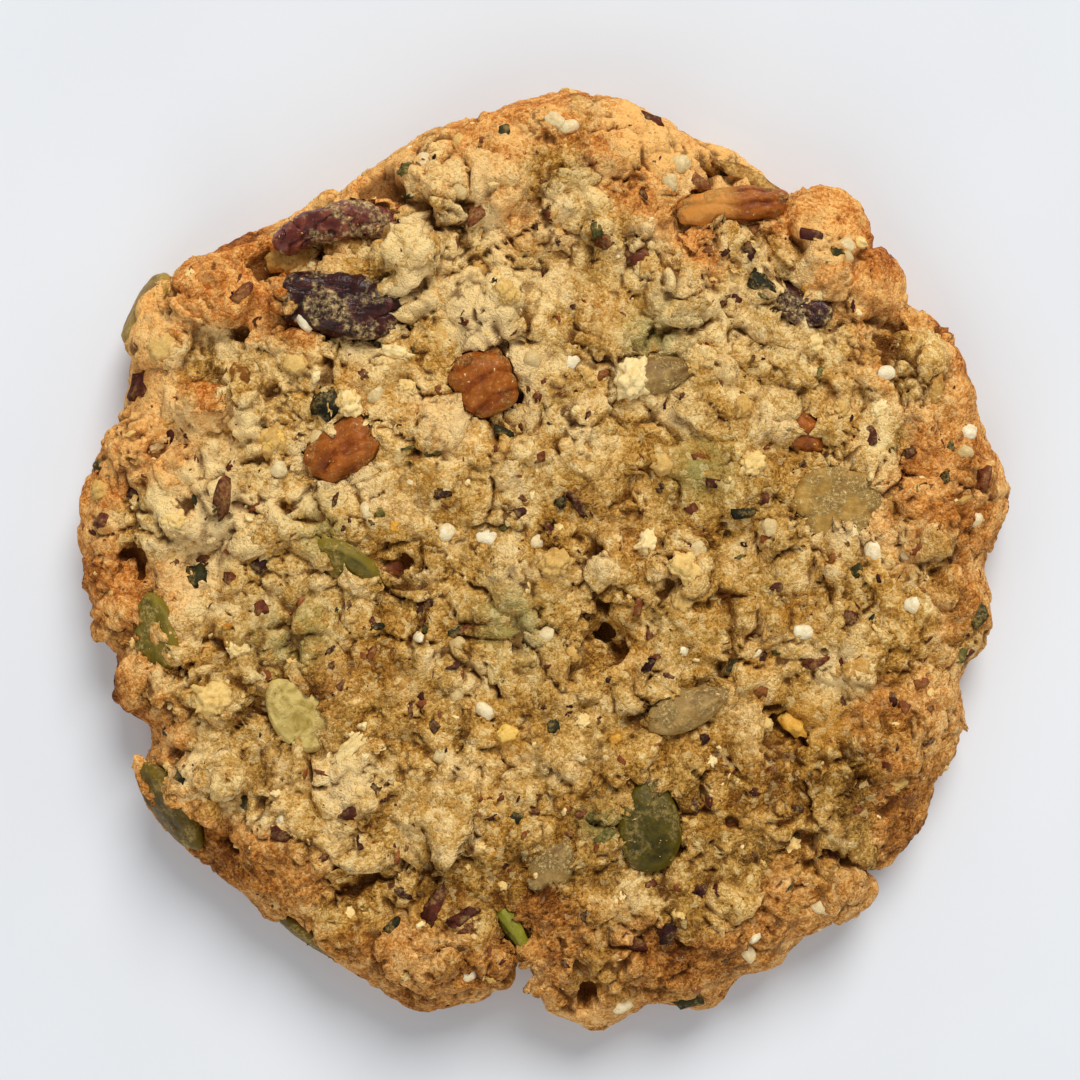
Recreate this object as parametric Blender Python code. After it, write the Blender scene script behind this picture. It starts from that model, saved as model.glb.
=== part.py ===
"""A thick, round breakfast cookie with nuts, seeds and dried fruit baked into its top and rim.

Lengths are in millimetres until they reach a mesh, which is in metres. +Z is up, the cookie lies on its
flat underside at z = 0, and +Y points away from a person who looks down on it.
The dough is one craggy solid with small grains fused to it. Each large nut, seed and piece of fruit
is a solid of its own, set in a pocket of the dough with a hairline gap round it.
"""

import math
import random

import bmesh
import bpy
from mathutils import Matrix, Vector, noise
from mathutils.bvhtree import BVHTree

MM = 0.001

# Driving dimensions of the dough
MEAN_RADIUS = 46.2
THICKNESS = 12.8
DOME = 2.0
SHOULDER = 0.83
FOOT = 0.94
WIDEST_AT = 0.42
ROUNDNESS = 2.1
POCKET_GAP = 0.3
FLAT_WITHIN = 0.06

# How the dough's triangles are shared out: the top first, then the side, then the underside
SPHERE_SUBDIVISIONS = 6
TOP_SHARE = 0.6
SIDE_SHARE = 0.3
DOUGH_TRIANGLES = 4900

# Crags: soft clumps with creases between them, and small lumps on those
CLUMP_SIZE = 5.6
CLUMP_RISE = 1.0
CREASE_WIDTH = 0.5
LUMP_SIZE = 3.4
LUMP_RISE = 0.3
CALMER_RIM = 0.35

GRAIN_SEED = 7
GRAIN_COUNT = 60
GRAIN_SPACING = 4.2
GRAIN_REACH = 0.93
GRAIN_LENGTHS = (1.7, 2.9)
GRAIN_WIDTH = 0.7
GRAIN_HEIGHT = 0.6

# The rim's lobes and bays: direction in degrees, half width in degrees, rise in millimetres
RIM = [
    (8, 6, 1.9),
    (25, 6, 1.2),
    (36, 2.6, -1.5),
    (50.5, 3.4, 1.4),
    (57, 2.2, -2.0),
    (68, 4, -0.9),
    (84, 9, 1.6),
    (100, 4, -1.2),
    (112, 6, -2.5),
    (125, 8, -3.0),
    (148, 5, 2.3),
    (159, 3, -1.1),
    (172, 7, 1.2),
    (193, 2.6, -1.7),
    (203.5, 3, -3.7),
    (213, 5, 1.7),
    (236, 2.4, -1.1),
    (253.5, 3.4, 1.7),
    (265, 3, -2.4),
    (277, 4.5, 1.7),
    (290.5, 4, 2.3),
    (300, 3, 2.1),
    (312, 4, 1.8),
    (322, 5, 0.9),
    (344.5, 3.6, -2.3),
    (359, 3, -1.3),
]

# Raised masses of dough: x, y, radius, rise
MOUNDS = [
    (1, 38, 16, 1.3),
    (-12.5, 39, 7, 1.0),
    (12, 40.5, 7, 0.8),
    (-33.5, 27, 4.6, 2.0),
    (-21.5, 35.8, 5.5, 1.0),
    (-12.9, 30.2, 2.8, 1.2),
    (-38, 21.3, 3.6, 1.1),
    (-33.9, 15.6, 2.4, 1.5),
    (-29.8, 15, 2.4, 1.2),
    (-33.6, 9.0, 5.6, 1.1),
    (-40.5, 12.7, 3.4, 1.0),
    (-34.5, -6.4, 4, 0.9),
    (-32.5, -13.8, 4.4, 1.4),
    (-32.5, -20.6, 4, 1.4),
    (-19.5, -20.2, 7, 0.7),
    (-24.5, -28.4, 5, 1.1),
    (-9, -26, 4.5, 0.9),
    (12, 1.7, 2.4, 1.0),
    (14.7, -1.9, 3, 1.2),
    (6.3, -1.2, 2.6, 0.8),
    (19.5, 8.7, 4, 0.8),
    (32.5, -8.2, 5, 0.7),
    (36.5, -16.2, 5, 0.9),
    (28.5, -21.2, 5, 0.8),
    (30.5, -34.2, 4, 0.9),
    (9.5, -36.2, 6, 0.7),
    (-8.5, -41, 4.5, 1.0),
    (30.5, 30.7, 5, 0.9),
    (40.5, 15.7, 4.5, 0.8),
    (43.5, 6.7, 3.6, 0.8),
]

# Hollows, pits and the shadowed steps between the masses: x, y, radius, depth
HOLLOWS = [
    (-27, 29.6, 4, 2.4),
    (-20.5, 29.7, 2.8, 2.2),
    (-31.8, 22.4, 2.8, 2.1),
    (-40, 17.3, 2.2, 1.7),
    (-36.6, 11.9, 2.2, 1.6),
    (-31.6, 12.2, 1.9, 1.3),
    (-41.4, -0.8, 2.2, 2.3),
    (-34, -1.4, 2.5, 1.9),
    (1.5, 28.4, 5, 1.6),
    (10.5, 23.4, 3.5, 1.1),
    (5.8, -7.9, 2.0, 4.2),
    (5.6, -4.6, 1.3, 1.6),
    (13, 12.7, 2.2, 1.5),
    (8, 2.3, 1.5, 1.5),
    (19.3, 0.9, 2.4, 1.7),
    (23, -16.7, 3.8, 1.3),
    (35.3, 1.6, 1.6, 1.5),
    (28.4, 22.9, 1.8, 1.5),
    (34.4, 22.9, 2.4, 1.6),
    (13.4, 33.6, 1.9, 2.2),
    (17.4, 38.0, 2.2, 2.0),
    (-19, -32.6, 3.4, 1.7),
    (-30.4, -28.0, 2.6, 1.3),
    (4.5, -43.4, 1.9, 2.4),
    (-2.6, 15.6, 1.6, 2.2),
    (-14.8, -0.4, 2.0, 1.3),
]

# Narrow clefts in the rim: direction in degrees, width, depth and how far one side leans
CLEFTS = [(268.2, 2.5, 7.6, 14), (117, 1.9, 4.2, -20), (316.3, 1.7, 4.8, 8)]
CLEFT_SIDES = 10
CLEFT_POINT = 0.25
CLEFT_OVERRUN = 6

# Seeds: x, y, length, width, thickness, taper, turn, roll, tilt, how far the middle sinks below the dough
PEPITAS = {
    "pepita_front": (10.6, -26.2, 9.8, 7.3, 2.7, 0.34, 92, 6, -6, 0.35),
    "pepita_left": (-38.3, -7.3, 8.8, 6.2, 2.6, 0.3, 98, -34, 4, 0.7),
    "pepita_split": (-24.2, -15.2, 9.0, 6.4, 2.5, 0.3, 128, 8, 10, 0.55),
    "pepita_middle": (-19.4, -0.4, 8.4, 5.6, 2.5, 0.3, -30, 44, 0, 1.2),
    "pepita_edge": (-3.4, -36.4, 7.6, 5.2, 2.3, 0.3, -56, 74, 0, 2.0),
}
KERNELS = {
    "sunflower_right": (14.4, -14.6, 9.2, 4.9, 2.6, 0.45, 23, 8, 2, 0.25),
    "sunflower_upper": (11.2, 18.4, 8.8, 4.4, 2.4, 0.4, 12, -10, -3, 0.75),
    "sunflower_lower": (0.9, -30.4, 6.4, 4.8, 2.4, 0.35, 58, 10, 8, 0.65),
}

# Seeds in the rim: direction in degrees, height, length, width, thickness, taper, slope, lean, sink
RIM_PEPITAS = {
    "pepita_rim_front": (213.4, 8.3, 11.0, 6.4, 2.7, 0.28, 4, 42, 1.2),
    "pepita_rim_corner": (238.5, 5.6, 8.6, 5.4, 2.5, 0.3, -8, 12, 0.85),
    "pepita_rim_back": (147.6, 6.0, 8.8, 6.4, 2.6, 0.3, 8, 26, 0.5),
}

# Nuts, fruit and a flake: x, y, length, width, height, turn, roll, tilt, sink, squareness, unevenness
CHUNKS = {
    "pecan_middle": (-6.0, 17.6, 6.8, 6.4, 5.0, 14, 8, 10, 0.9, 3.2, 0.35),
    "pecan_left": (-19.7, 10.9, 8.2, 5.8, 4.6, 34, -8, 4, 1.1, 2.6, 0.3),
    "pecan_long": (18.8, 35.1, 11.6, 3.9, 3.8, 6, 12, 2, 0.5, 2.6, 0.25),
    "pecan_bit": (26.0, 12.7, 4.8, 4.2, 3.4, -20, 6, -10, 1.0, 2.6, 0.35),
    "fruit_slab": (-19.7, 25.1, 13.6, 6.6, 4.8, -7, 6, 2, 0.9, 2.8, 0.5),
    "fruit_bit": (25.2, 25.4, 7.6, 3.8, 3.2, -32, 8, 4, 0.9, 2.4, 0.5),
    "oat_flake": (29.3, 5.6, 9.6, 7.6, 1.9, -8, 4, -3, 0.15, 2.2, 0.12),
}
CHUNK_CUTS = 2

# The folded strip of fruit at the top left: x, y, height above the dough, half thickness
FRUIT_FOLD = [
    (-26.4, 31.2, -0.6, 1.3),
    (-23.6, 32.7, -0.1, 1.9),
    (-20.0, 33.5, 0.2, 2.1),
    (-16.4, 33.6, 0.1, 1.9),
    (-14.2, 32.2, -0.3, 1.4),
    (-13.4, 30.4, -0.5, 1.0),
]
FRUIT_FOLD_SIDES = 2

# Crumbs and bits that stand on the dough and are fused to it: x, y, length, width, height
LARGE_CRUMBS = [
    (8.7, 18.0, 3.8, 3.6, 3.0),
    (-14.4, 20.3, 3.4, 2.0, 1.8),
    (-26.4, 11.6, 3.4, 3.6, 2.8),
    (-19.2, 15.6, 2.6, 2.8, 2.4),
    (20.4, -39.2, 2.6, 1.8, 1.6),
    (1.4, -0.4, 3.4, 2.8, 2.2),
    (36.3, -4.3, 2.3, 2.3, 1.8),
    (-20.2, -19.0, 4.6, 1.9, 1.8),
]
CRUMB_SUNK = 0.22
GRAIN_SUNK = 0.04

COLOURS = {
    "dough": ((0.52, 0.30, 0.11), 0.85),
    "pepita": ((0.13, 0.14, 0.03), 0.45),
    "kernel": ((0.40, 0.30, 0.15), 0.6),
    "pecan": ((0.30, 0.10, 0.025), 0.5),
    "fruit": ((0.06, 0.015, 0.015), 0.4),
    "oat": ((0.50, 0.32, 0.13), 0.75),
}


def clear_scene():
    for obj in list(bpy.data.objects):
        bpy.data.objects.remove(obj, do_unlink=True)


def new_collection(name):
    collection = bpy.data.collections.new(name)
    bpy.context.scene.collection.children.link(collection)
    return collection


def make_material(name):
    colour, roughness = COLOURS[name]
    material = bpy.data.materials.new(name)
    material.use_nodes = True
    shader = material.node_tree.nodes["Principled BSDF"]
    shader.inputs["Base Color"].default_value = (*colour, 1)
    shader.inputs["Roughness"].default_value = roughness
    shader.inputs["Metallic"].default_value = 0
    return material


def object_from(bm, name, collection, material=None):
    """A bmesh in millimetres, as an object in metres."""
    bmesh.ops.recalc_face_normals(bm, faces=bm.faces)
    bmesh.ops.scale(bm, vec=(MM, MM, MM), verts=bm.verts)
    mesh = bpy.data.meshes.new(name)
    bm.to_mesh(mesh)
    bm.free()
    obj = bpy.data.objects.new(name, mesh)
    collection.objects.link(obj)
    if material:
        mesh.materials.append(material)
    return obj


def bell(distance, half_width):
    return math.exp(-((distance / half_width) ** 2))


def smooth_step(value, low, high):
    t = min(1, max(0, (value - low) / (high - low)))
    return t * t * (3 - 2 * t)


def rim_radius(direction):
    """How far the dough reaches in a direction, in degrees."""
    radius = MEAN_RADIUS
    for centre, half_width, rise in RIM:
        turn = (direction - centre + 180) % 360 - 180
        radius += rise * bell(turn, half_width)
    return radius


def top_height(x, y):
    """Height of the dough's top without its crags."""
    height = THICKNESS - DOME * (math.hypot(x, y) / MEAN_RADIUS) ** 2
    for cx, cy, radius, rise in MOUNDS:
        height += rise * bell(math.hypot(x - cx, y - cy), radius)
    for cx, cy, radius, depth in HOLLOWS:
        height -= depth * bell(math.hypot(x - cx, y - cy), radius)
    return height


def crag_rise(point):
    """How far the crags lift the surface: clumps that meet in creases, with small lumps on them."""
    nearest = noise.voronoi(point / CLUMP_SIZE)[0]
    crease = smooth_step(nearest[1] - nearest[0], 0, CREASE_WIDTH)
    lumps = noise.fractal(point / LUMP_SIZE, 0.9, 2.0, 2)
    return CLUMP_RISE * (crease - 0.75) + LUMP_RISE * lumps


def profile(share):
    """The section at a share of the way from the middle of the top, round the rim, to the middle of the
    underside: share of the rim's radius, share of the height, and how far its normal leans outwards."""
    if share <= TOP_SHARE:
        return SHOULDER * math.sqrt(share / TOP_SHARE), 1, 0
    if share >= TOP_SHARE + SIDE_SHARE:
        return FOOT * math.sqrt((1 - share) / (1 - TOP_SHARE - SIDE_SHARE)), 0, 0
    turn = math.pi / 2 - math.pi * (share - TOP_SHARE) / SIDE_SHARE
    out = max(0, math.cos(turn)) ** (2 / ROUNDNESS)
    up = abs(math.sin(turn)) ** (2 / ROUNDNESS)
    if turn > 0:
        return SHOULDER + (1 - SHOULDER) * out, WIDEST_AT + (1 - WIDEST_AT) * up, out
    return FOOT + (1 - FOOT) * out, WIDEST_AT * (1 - up), out


def dough_point(direction):
    """Where a point of the unit sphere goes on the dough."""
    angle = math.atan2(direction.y, direction.x)
    reach, height, lean = profile((1 - direction.z) / 2)
    rim = MEAN_RADIUS + (rim_radius(math.degrees(angle)) - MEAN_RADIUS) * reach**3
    x = reach * rim * math.cos(angle)
    y = reach * rim * math.sin(angle)
    if height == 0:
        return Vector((x, y, 0))
    point = Vector((x, y, height * top_height(x, y)))
    outward = Vector((lean * math.cos(angle), lean * math.sin(angle), 1 - lean)).normalized()
    strength = (1 - CALMER_RIM * lean) * smooth_step(height, 0.03, 0.3)
    return point + outward * crag_rise(point) * strength


def apply_modifiers(obj):
    graph = bpy.context.evaluated_depsgraph_get()
    mesh = bpy.data.meshes.new_from_object(obj.evaluated_get(graph))
    obj.modifiers.clear()
    obj.data = mesh


def make_dough(collection, material):
    """A sphere pulled into the craggy round, thinned to the triangles that its relief needs."""
    bm = bmesh.new()
    bmesh.ops.create_icosphere(bm, subdivisions=SPHERE_SUBDIVISIONS, radius=1)
    for vertex in bm.verts:
        vertex.co = dough_point(vertex.co.normalized())
    faces = len(bm.faces)
    dough = object_from(bm, "cookie", collection, material)
    thin = dough.modifiers.new("thin", "DECIMATE")
    thin.ratio = DOUGH_TRIANGLES / faces
    apply_modifiers(dough)
    flatten_underside(dough)
    return dough


def flatten_underside(dough):
    """Puts the underside back on the plane it was baked on, after thinning has moved it a little."""
    for vertex in dough.data.vertices:
        if vertex.co.z < FLAT_WITHIN * MM:
            vertex.co.z = 0


def surface_of(dough):
    bm = bmesh.new()
    bm.from_mesh(dough.data)
    tree = BVHTree.FromBMesh(bm)
    bm.free()
    return tree


def top_point(tree, x, y):
    """The dough's own surface above (x, y) and its normal, in millimetres."""
    start = Vector((x, y, 3 * THICKNESS)) * MM
    place, normal, _, _ = tree.ray_cast(start, Vector((0, 0, -1)))
    return place / MM, normal


def side_point(tree, direction, height):
    """The dough's side in a direction, in degrees, at a height, and its normal."""
    outward = Vector((math.cos(math.radians(direction)), math.sin(math.radians(direction)), 0))
    start = (outward * 2 * MEAN_RADIUS + Vector((0, 0, height))) * MM
    place, normal, _, _ = tree.ray_cast(start, -outward)
    return place / MM, outward


def turned(turn, roll, tilt):
    """A rotation that rolls a piece about its length, tips its end up, then turns it about Z."""
    turning = Matrix.Rotation(math.radians(turn), 4, "Z")
    tipping = Matrix.Rotation(math.radians(-tilt), 4, "Y")
    rolling = Matrix.Rotation(math.radians(roll), 4, "X")
    return turning @ tipping @ rolling


def seed_form(length, width, thickness, taper, grow=0):
    """A flat seed with its length along X, narrower towards +X. grow adds to every side."""
    bm = bmesh.new()
    bmesh.ops.create_uvsphere(bm, u_segments=10, v_segments=6, radius=1)
    bmesh.ops.rotate(bm, matrix=Matrix.Rotation(math.pi / 2, 3, "Y"), verts=bm.verts)
    bmesh.ops.triangulate(bm, faces=bm.faces, quad_method="FIXED")
    for vertex in bm.verts:
        along, across, up = vertex.co
        slim = 1 - taper * smooth_step(along, -0.4, 1.1)
        vertex.co.x = along * (length / 2 + grow)
        vertex.co.y = across * (width / 2 * slim + grow)
        vertex.co.z = up * (thickness / 2 + grow)
    return bm


def chunk_form(length, width, height, squareness, unevenness, grow=0):
    """A broken piece with rounded corners, from a box with its faces divided. grow adds to every side."""
    bm = bmesh.new()
    bmesh.ops.create_cube(bm, size=2)
    bmesh.ops.subdivide_edges(bm, edges=bm.edges, cuts=CHUNK_CUTS, use_grid_fill=True)
    bmesh.ops.triangulate(bm, faces=bm.faces, quad_method="FIXED")
    for vertex in bm.verts:
        away = vertex.co
        rounding = sum(abs(side) ** squareness for side in away) ** (1 / squareness)
        away = away / rounding
        bumps = 1 + unevenness * noise.noise(away * 1.3 + Vector((length, width, height)))
        vertex.co.x = away.x * (bumps * length / 2 + grow)
        vertex.co.y = away.y * (bumps * width / 2 + grow)
        vertex.co.z = away.z * (bumps * height / 2 + grow)
    return bm


def grain_form(length, width, height):
    bm = bmesh.new()
    bmesh.ops.create_uvsphere(bm, u_segments=6, v_segments=4, radius=0.5)
    bmesh.ops.scale(bm, vec=(length, width, height), verts=bm.verts)
    return bm


def place(obj, position, rotation):
    obj.rotation_euler = rotation.to_euler()
    obj.location = Vector(position) * MM


def add_set_piece(name, form, sizes, position, rotation, groups, material):
    """One piece and the cutter of its pocket, which is larger by the gap."""
    parts, cutters = groups
    piece = object_from(form(*sizes), name, parts, material)
    pocket = object_from(form(*sizes, grow=POCKET_GAP), name + "_pocket", cutters)
    for obj in (piece, pocket):
        place(obj, position, rotation)


def add_seeds(tree, table, groups, material):
    for name, values in table.items():
        x, y, length, width, thickness, taper, turn, roll, tilt, sink = values
        point, _ = top_point(tree, x, y)
        position = point - Vector((0, 0, sink))
        rotation = turned(turn, roll, tilt)
        sizes = (length, width, thickness, taper)
        add_set_piece(name, seed_form, sizes, position, rotation, groups, material)


def add_rim_seeds(tree, groups, material):
    """Seeds that lie along the rim, leaning back from upright by their lean."""
    for name, values in RIM_PEPITAS.items():
        direction, height, length, width, thickness, taper, slope, lean, sink = values
        point, outward = side_point(tree, direction, height)
        upright = Matrix.Rotation(math.radians(90 - lean), 4, "X")
        sloping = Matrix.Rotation(math.radians(slope), 4, "Y")
        turning = Matrix.Rotation(math.radians(direction + 90), 4, "Z")
        position = point - outward * sink
        sizes = (length, width, thickness, taper)
        add_set_piece(name, seed_form, sizes, position, turning @ sloping @ upright, groups, material)


def add_chunks(tree, groups, materials):
    for name, values in CHUNKS.items():
        x, y, length, width, height, turn, roll, tilt, sink, squareness, unevenness = values
        kind = name.split("_")[0]
        point, _ = top_point(tree, x, y)
        position = point - Vector((0, 0, sink))
        rotation = turned(turn, roll, tilt)
        sizes = (length, width, height, squareness, unevenness)
        add_set_piece(name, chunk_form, sizes, position, rotation, groups, materials[kind])


def fold_mesh(tree, name, grow):
    """The folded strip of fruit as a closed mesh: a smooth tube that swells in its upper part."""
    curve = bpy.data.curves.new(name, "CURVE")
    curve.dimensions = "3D"
    curve.bevel_depth = MM
    curve.bevel_resolution = FRUIT_FOLD_SIDES
    curve.use_fill_caps = True
    curve.resolution_u = 3
    spline = curve.splines.new("BEZIER")
    spline.bezier_points.add(len(FRUIT_FOLD) - 1)
    for point, (x, y, rise, thickness) in zip(spline.bezier_points, FRUIT_FOLD):
        ground, _ = top_point(tree, x, y)
        level = THICKNESS - 1.6 + 0.25 * (ground.z - THICKNESS)
        point.co = Vector((x, y, level + rise)) * MM
        point.radius = thickness + grow
        point.handle_left_type = point.handle_right_type = "AUTO"
    ends = spline.bezier_points[0], spline.bezier_points[-1]
    towards = ends[0].co - spline.bezier_points[1].co, ends[1].co - spline.bezier_points[-2].co
    for end, away in zip(ends, towards):
        end.co += away.normalized() * grow * MM
    tube = bpy.data.objects.new(name, curve)
    bpy.context.scene.collection.objects.link(tube)
    mesh = bpy.data.meshes.new_from_object(tube.evaluated_get(bpy.context.evaluated_depsgraph_get()))
    bpy.data.objects.remove(tube)
    bm = bmesh.new()
    bm.from_mesh(mesh)
    bmesh.ops.remove_doubles(bm, verts=bm.verts, dist=1e-6)
    bmesh.ops.recalc_face_normals(bm, faces=bm.faces)
    bm.to_mesh(mesh)
    bm.free()
    return mesh


def add_fruit_fold(tree, groups, material):
    parts, cutters = groups
    for name, grow, collection in (("fruit_fold", 0, parts), ("fruit_fold_pocket", POCKET_GAP, cutters)):
        mesh = fold_mesh(tree, name, grow)
        mesh.name = name
        obj = bpy.data.objects.new(name, mesh)
        collection.objects.link(obj)
        if not grow:
            mesh.materials.clear()
            mesh.materials.append(material)


def add_clefts(cutters):
    """Wedges that cut the narrow clefts, each a tall cone laid with its point towards the middle."""
    for number, (direction, width, depth, lean) in enumerate(CLEFTS):
        bm = bmesh.new()
        bmesh.ops.create_cone(
            bm,
            cap_ends=True,
            segments=CLEFT_SIDES,
            radius1=width * CLEFT_POINT,
            radius2=width * 0.5 * (1 + CLEFT_OVERRUN / depth),
            depth=depth + CLEFT_OVERRUN,
        )
        bmesh.ops.scale(bm, vec=(3 * THICKNESS / width, 1, 1), verts=bm.verts)
        bmesh.ops.rotate(bm, matrix=Matrix.Rotation(math.pi / 2, 3, "Y"), verts=bm.verts)
        cleft = object_from(bm, f"cleft_{number}", cutters)
        angle = math.radians(direction)
        middle = rim_radius(direction) - (depth - CLEFT_OVERRUN) / 2
        position = (middle * math.cos(angle), middle * math.sin(angle), THICKNESS / 2)
        place(cleft, position, Matrix.Rotation(angle + math.radians(lean), 4, "Z"))


def is_clear(x, y, reach, taken):
    return all(math.hypot(x - px, y - py) > reach + size for px, py, size in taken)


def taken_places():
    """Where the set pieces and the large crumbs are, so that no grain is fused across them."""
    places = [(v[0], v[1], v[2] * 0.45) for v in (*PEPITAS.values(), *KERNELS.values(), *CHUNKS.values())]
    places += [(x, y, thickness) for x, y, _, thickness in FRUIT_FOLD]
    places += [(v[0], v[1], v[2] * 0.5) for v in LARGE_CRUMBS]
    for direction, _, length, *_ in RIM_PEPITAS.values():
        angle = math.radians(direction)
        places.append((MEAN_RADIUS * math.cos(angle), MEAN_RADIUS * math.sin(angle), length * 0.6))
    for direction, width, *_ in CLEFTS:
        angle = math.radians(direction)
        reach = GRAIN_REACH * MEAN_RADIUS
        places.append((reach * math.cos(angle), reach * math.sin(angle), width))
    return places


def add_grains(tree, collection):
    """Seeds and crumbs that stand out of the dough, spread evenly by a seeded rule."""
    for number, (x, y, length, width, height) in enumerate(LARGE_CRUMBS):
        point, normal = top_point(tree, x, y)
        crumb = object_from(grain_form(length, width, height), f"crumb_{number}", collection)
        place(crumb, point - normal * height * CRUMB_SUNK, Matrix.Rotation(x, 4, "Z"))
    draw = random.Random(GRAIN_SEED)
    set_pieces = taken_places()
    grains = []
    while len(grains) < GRAIN_COUNT:
        angle = draw.uniform(0, 2 * math.pi)
        reach = GRAIN_REACH * math.sqrt(draw.random()) * MEAN_RADIUS
        length = draw.uniform(*GRAIN_LENGTHS)
        turn = draw.uniform(0, math.pi)
        x, y = reach * math.cos(angle), reach * math.sin(angle)
        if not (is_clear(x, y, GRAIN_SPACING, grains) and is_clear(x, y, length, set_pieces)):
            continue
        point, normal = top_point(tree, x, y)
        form = grain_form(length, length * GRAIN_WIDTH, length * GRAIN_HEIGHT)
        grain = object_from(form, f"grain_{len(grains)}", collection)
        lying = normal.to_track_quat("Z", "X").to_matrix().to_4x4()
        place(grain, point - normal * length * GRAIN_SUNK, lying @ Matrix.Rotation(turn, 4, "Z"))
        grains.append((x, y, 0))


def fuse(dough, grains):
    union = dough.modifiers.new("fuse", "BOOLEAN")
    union.operation = "UNION"
    union.solver = "MANIFOLD"
    union.operand_type = "COLLECTION"
    union.collection = grains
    apply_modifiers(dough)
    for grain in list(grains.objects):
        bpy.data.objects.remove(grain)
    bpy.data.collections.remove(grains)


def cut(dough, cutters):
    for cutter in cutters.objects:
        cutter.hide_render = True
        cutter.display_type = "WIRE"
    pockets = dough.modifiers.new("pockets", "BOOLEAN")
    pockets.operation = "DIFFERENCE"
    pockets.solver = "MANIFOLD"
    pockets.operand_type = "COLLECTION"
    pockets.collection = cutters
    apply_modifiers(dough)


def keep_largest_body(dough):
    """Drops the loose scraps that cutting leaves, and the skins of hollows that it seals."""
    bm = bmesh.new()
    bm.from_mesh(dough.data)
    bmesh.ops.remove_doubles(bm, verts=bm.verts, dist=0.002 * MM)
    left = set(bm.verts)
    bodies = []
    while left:
        body, edge = set(), [left.pop()]
        while edge:
            vertex = edge.pop()
            body.add(vertex)
            for link in vertex.link_edges:
                other = link.other_vert(vertex)
                if other in left:
                    left.remove(other)
                    edge.append(other)
        bodies.append(body)
    bodies.sort(key=len)
    for body in bodies[:-1]:
        bmesh.ops.delete(bm, geom=list(body), context="VERTS")
    bm.to_mesh(dough.data)
    bm.free()


def centre_on_origin(parts):
    """Hangs every piece from an empty that puts the middle of the whole over the origin."""
    bpy.context.view_layer.update()
    corners = [obj.matrix_world @ Vector(corner) for obj in parts.objects for corner in obj.bound_box]
    middle = Vector([(min(c[i] for c in corners) + max(c[i] for c in corners)) / 2 for i in range(3)])
    stand = bpy.data.objects.new("cookie_frame", None)
    bpy.context.scene.collection.objects.link(stand)
    for obj in parts.objects:
        obj.parent = stand
    stand.location = (-middle.x, -middle.y, 0)


def main():
    clear_scene()
    parts = new_collection("breakfast_cookie")
    cutters = new_collection("cutters")
    grains = new_collection("grains")
    materials = {name: make_material(name) for name in COLOURS}
    groups = (parts, cutters)
    dough = make_dough(parts, materials["dough"])
    tree = surface_of(dough)
    add_seeds(tree, PEPITAS, groups, materials["pepita"])
    add_seeds(tree, KERNELS, groups, materials["kernel"])
    add_rim_seeds(tree, groups, materials["pepita"])
    add_chunks(tree, groups, materials)
    add_fruit_fold(tree, groups, materials["fruit"])
    add_clefts(cutters)
    add_grains(tree, grains)
    fuse(dough, grains)
    cut(dough, cutters)
    keep_largest_body(dough)
    centre_on_origin(parts)


main()
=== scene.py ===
"""Looks for a thick breakfast cookie: craggy baked dough with seeds, nuts and dried fruit in it.

Lengths below are in millimetres and reach the meshes through MM. Seen from above, +X is to the right and
+Y is the far edge. Places on the cookie are measured from CENTRE, the middle of its round.
"""

import math

import bmesh
import bpy
import numpy as np
from mathutils import Matrix, Vector, noise
from mathutils.bvhtree import BVHTree


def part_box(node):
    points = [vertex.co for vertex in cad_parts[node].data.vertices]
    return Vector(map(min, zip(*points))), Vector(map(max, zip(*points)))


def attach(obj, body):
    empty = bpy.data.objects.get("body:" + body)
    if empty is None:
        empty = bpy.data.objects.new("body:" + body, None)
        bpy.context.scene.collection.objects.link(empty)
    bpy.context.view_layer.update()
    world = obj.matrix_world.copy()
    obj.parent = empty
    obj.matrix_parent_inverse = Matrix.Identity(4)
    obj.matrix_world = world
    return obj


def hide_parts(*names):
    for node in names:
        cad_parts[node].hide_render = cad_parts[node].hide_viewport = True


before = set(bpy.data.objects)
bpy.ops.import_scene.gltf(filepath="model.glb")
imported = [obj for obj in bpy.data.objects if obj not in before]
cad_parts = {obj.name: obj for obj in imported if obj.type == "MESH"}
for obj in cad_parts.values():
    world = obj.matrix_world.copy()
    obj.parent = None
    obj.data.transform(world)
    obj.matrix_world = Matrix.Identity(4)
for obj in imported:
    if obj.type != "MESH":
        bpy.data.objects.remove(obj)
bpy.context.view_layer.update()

MM = 0.001
DRAW_SEED = 5

# Without a seed, noise_vector shifts its pattern by the clock, so each run would differ
noise.seed_set(DRAW_SEED)

# The front pumpkin seed lies at this place on the cookie, so its box shows where the places are measured from
FRONT_SEED_AT = (10.6, -26.2)

# The photographed frame: how wide it is at the cookie's top, and what lies in its middle
VIEW_WIDTH = 108
VIEW_MIDDLE = (-0.3, 2.05)
VIEW_LEVEL = 8.5
FLOOR_GAP = 0.05
LENS = 85
SENSOR = 36

# The dough's mesh: an even grid, halved above this level, then smoothed
GRID = 0.79
HALVED_ABOVE = 2.2
SMOOTHINGS = 3
FLAT_BELOW = 0.45

# How light the dough is between its darkest and its palest colour, 0 to 1
DOUGH_TONE = 0.445

# Relief of the dough: lumps of three sizes. Each is rounded by the first number and stands higher or
# lower than its neighbours by up to the second
LUMP_SIZES = (4.3, 2.1, 1.1)
LUMP_ROUNDING = (0.46, 0.22, 0.03)
LUMP_STEP = (0.42, 0.18, 0.04)
CRUMBLE = 0.24
FISSURE_DEPTH = (0.9, 0.45)
PIT_SPACING = 2.6
PIT_RADIUS = 0.42
PIT_DEPTH = 0.5
RIM_STARTS = 0.86
RIM_CALM = 0.5

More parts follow.
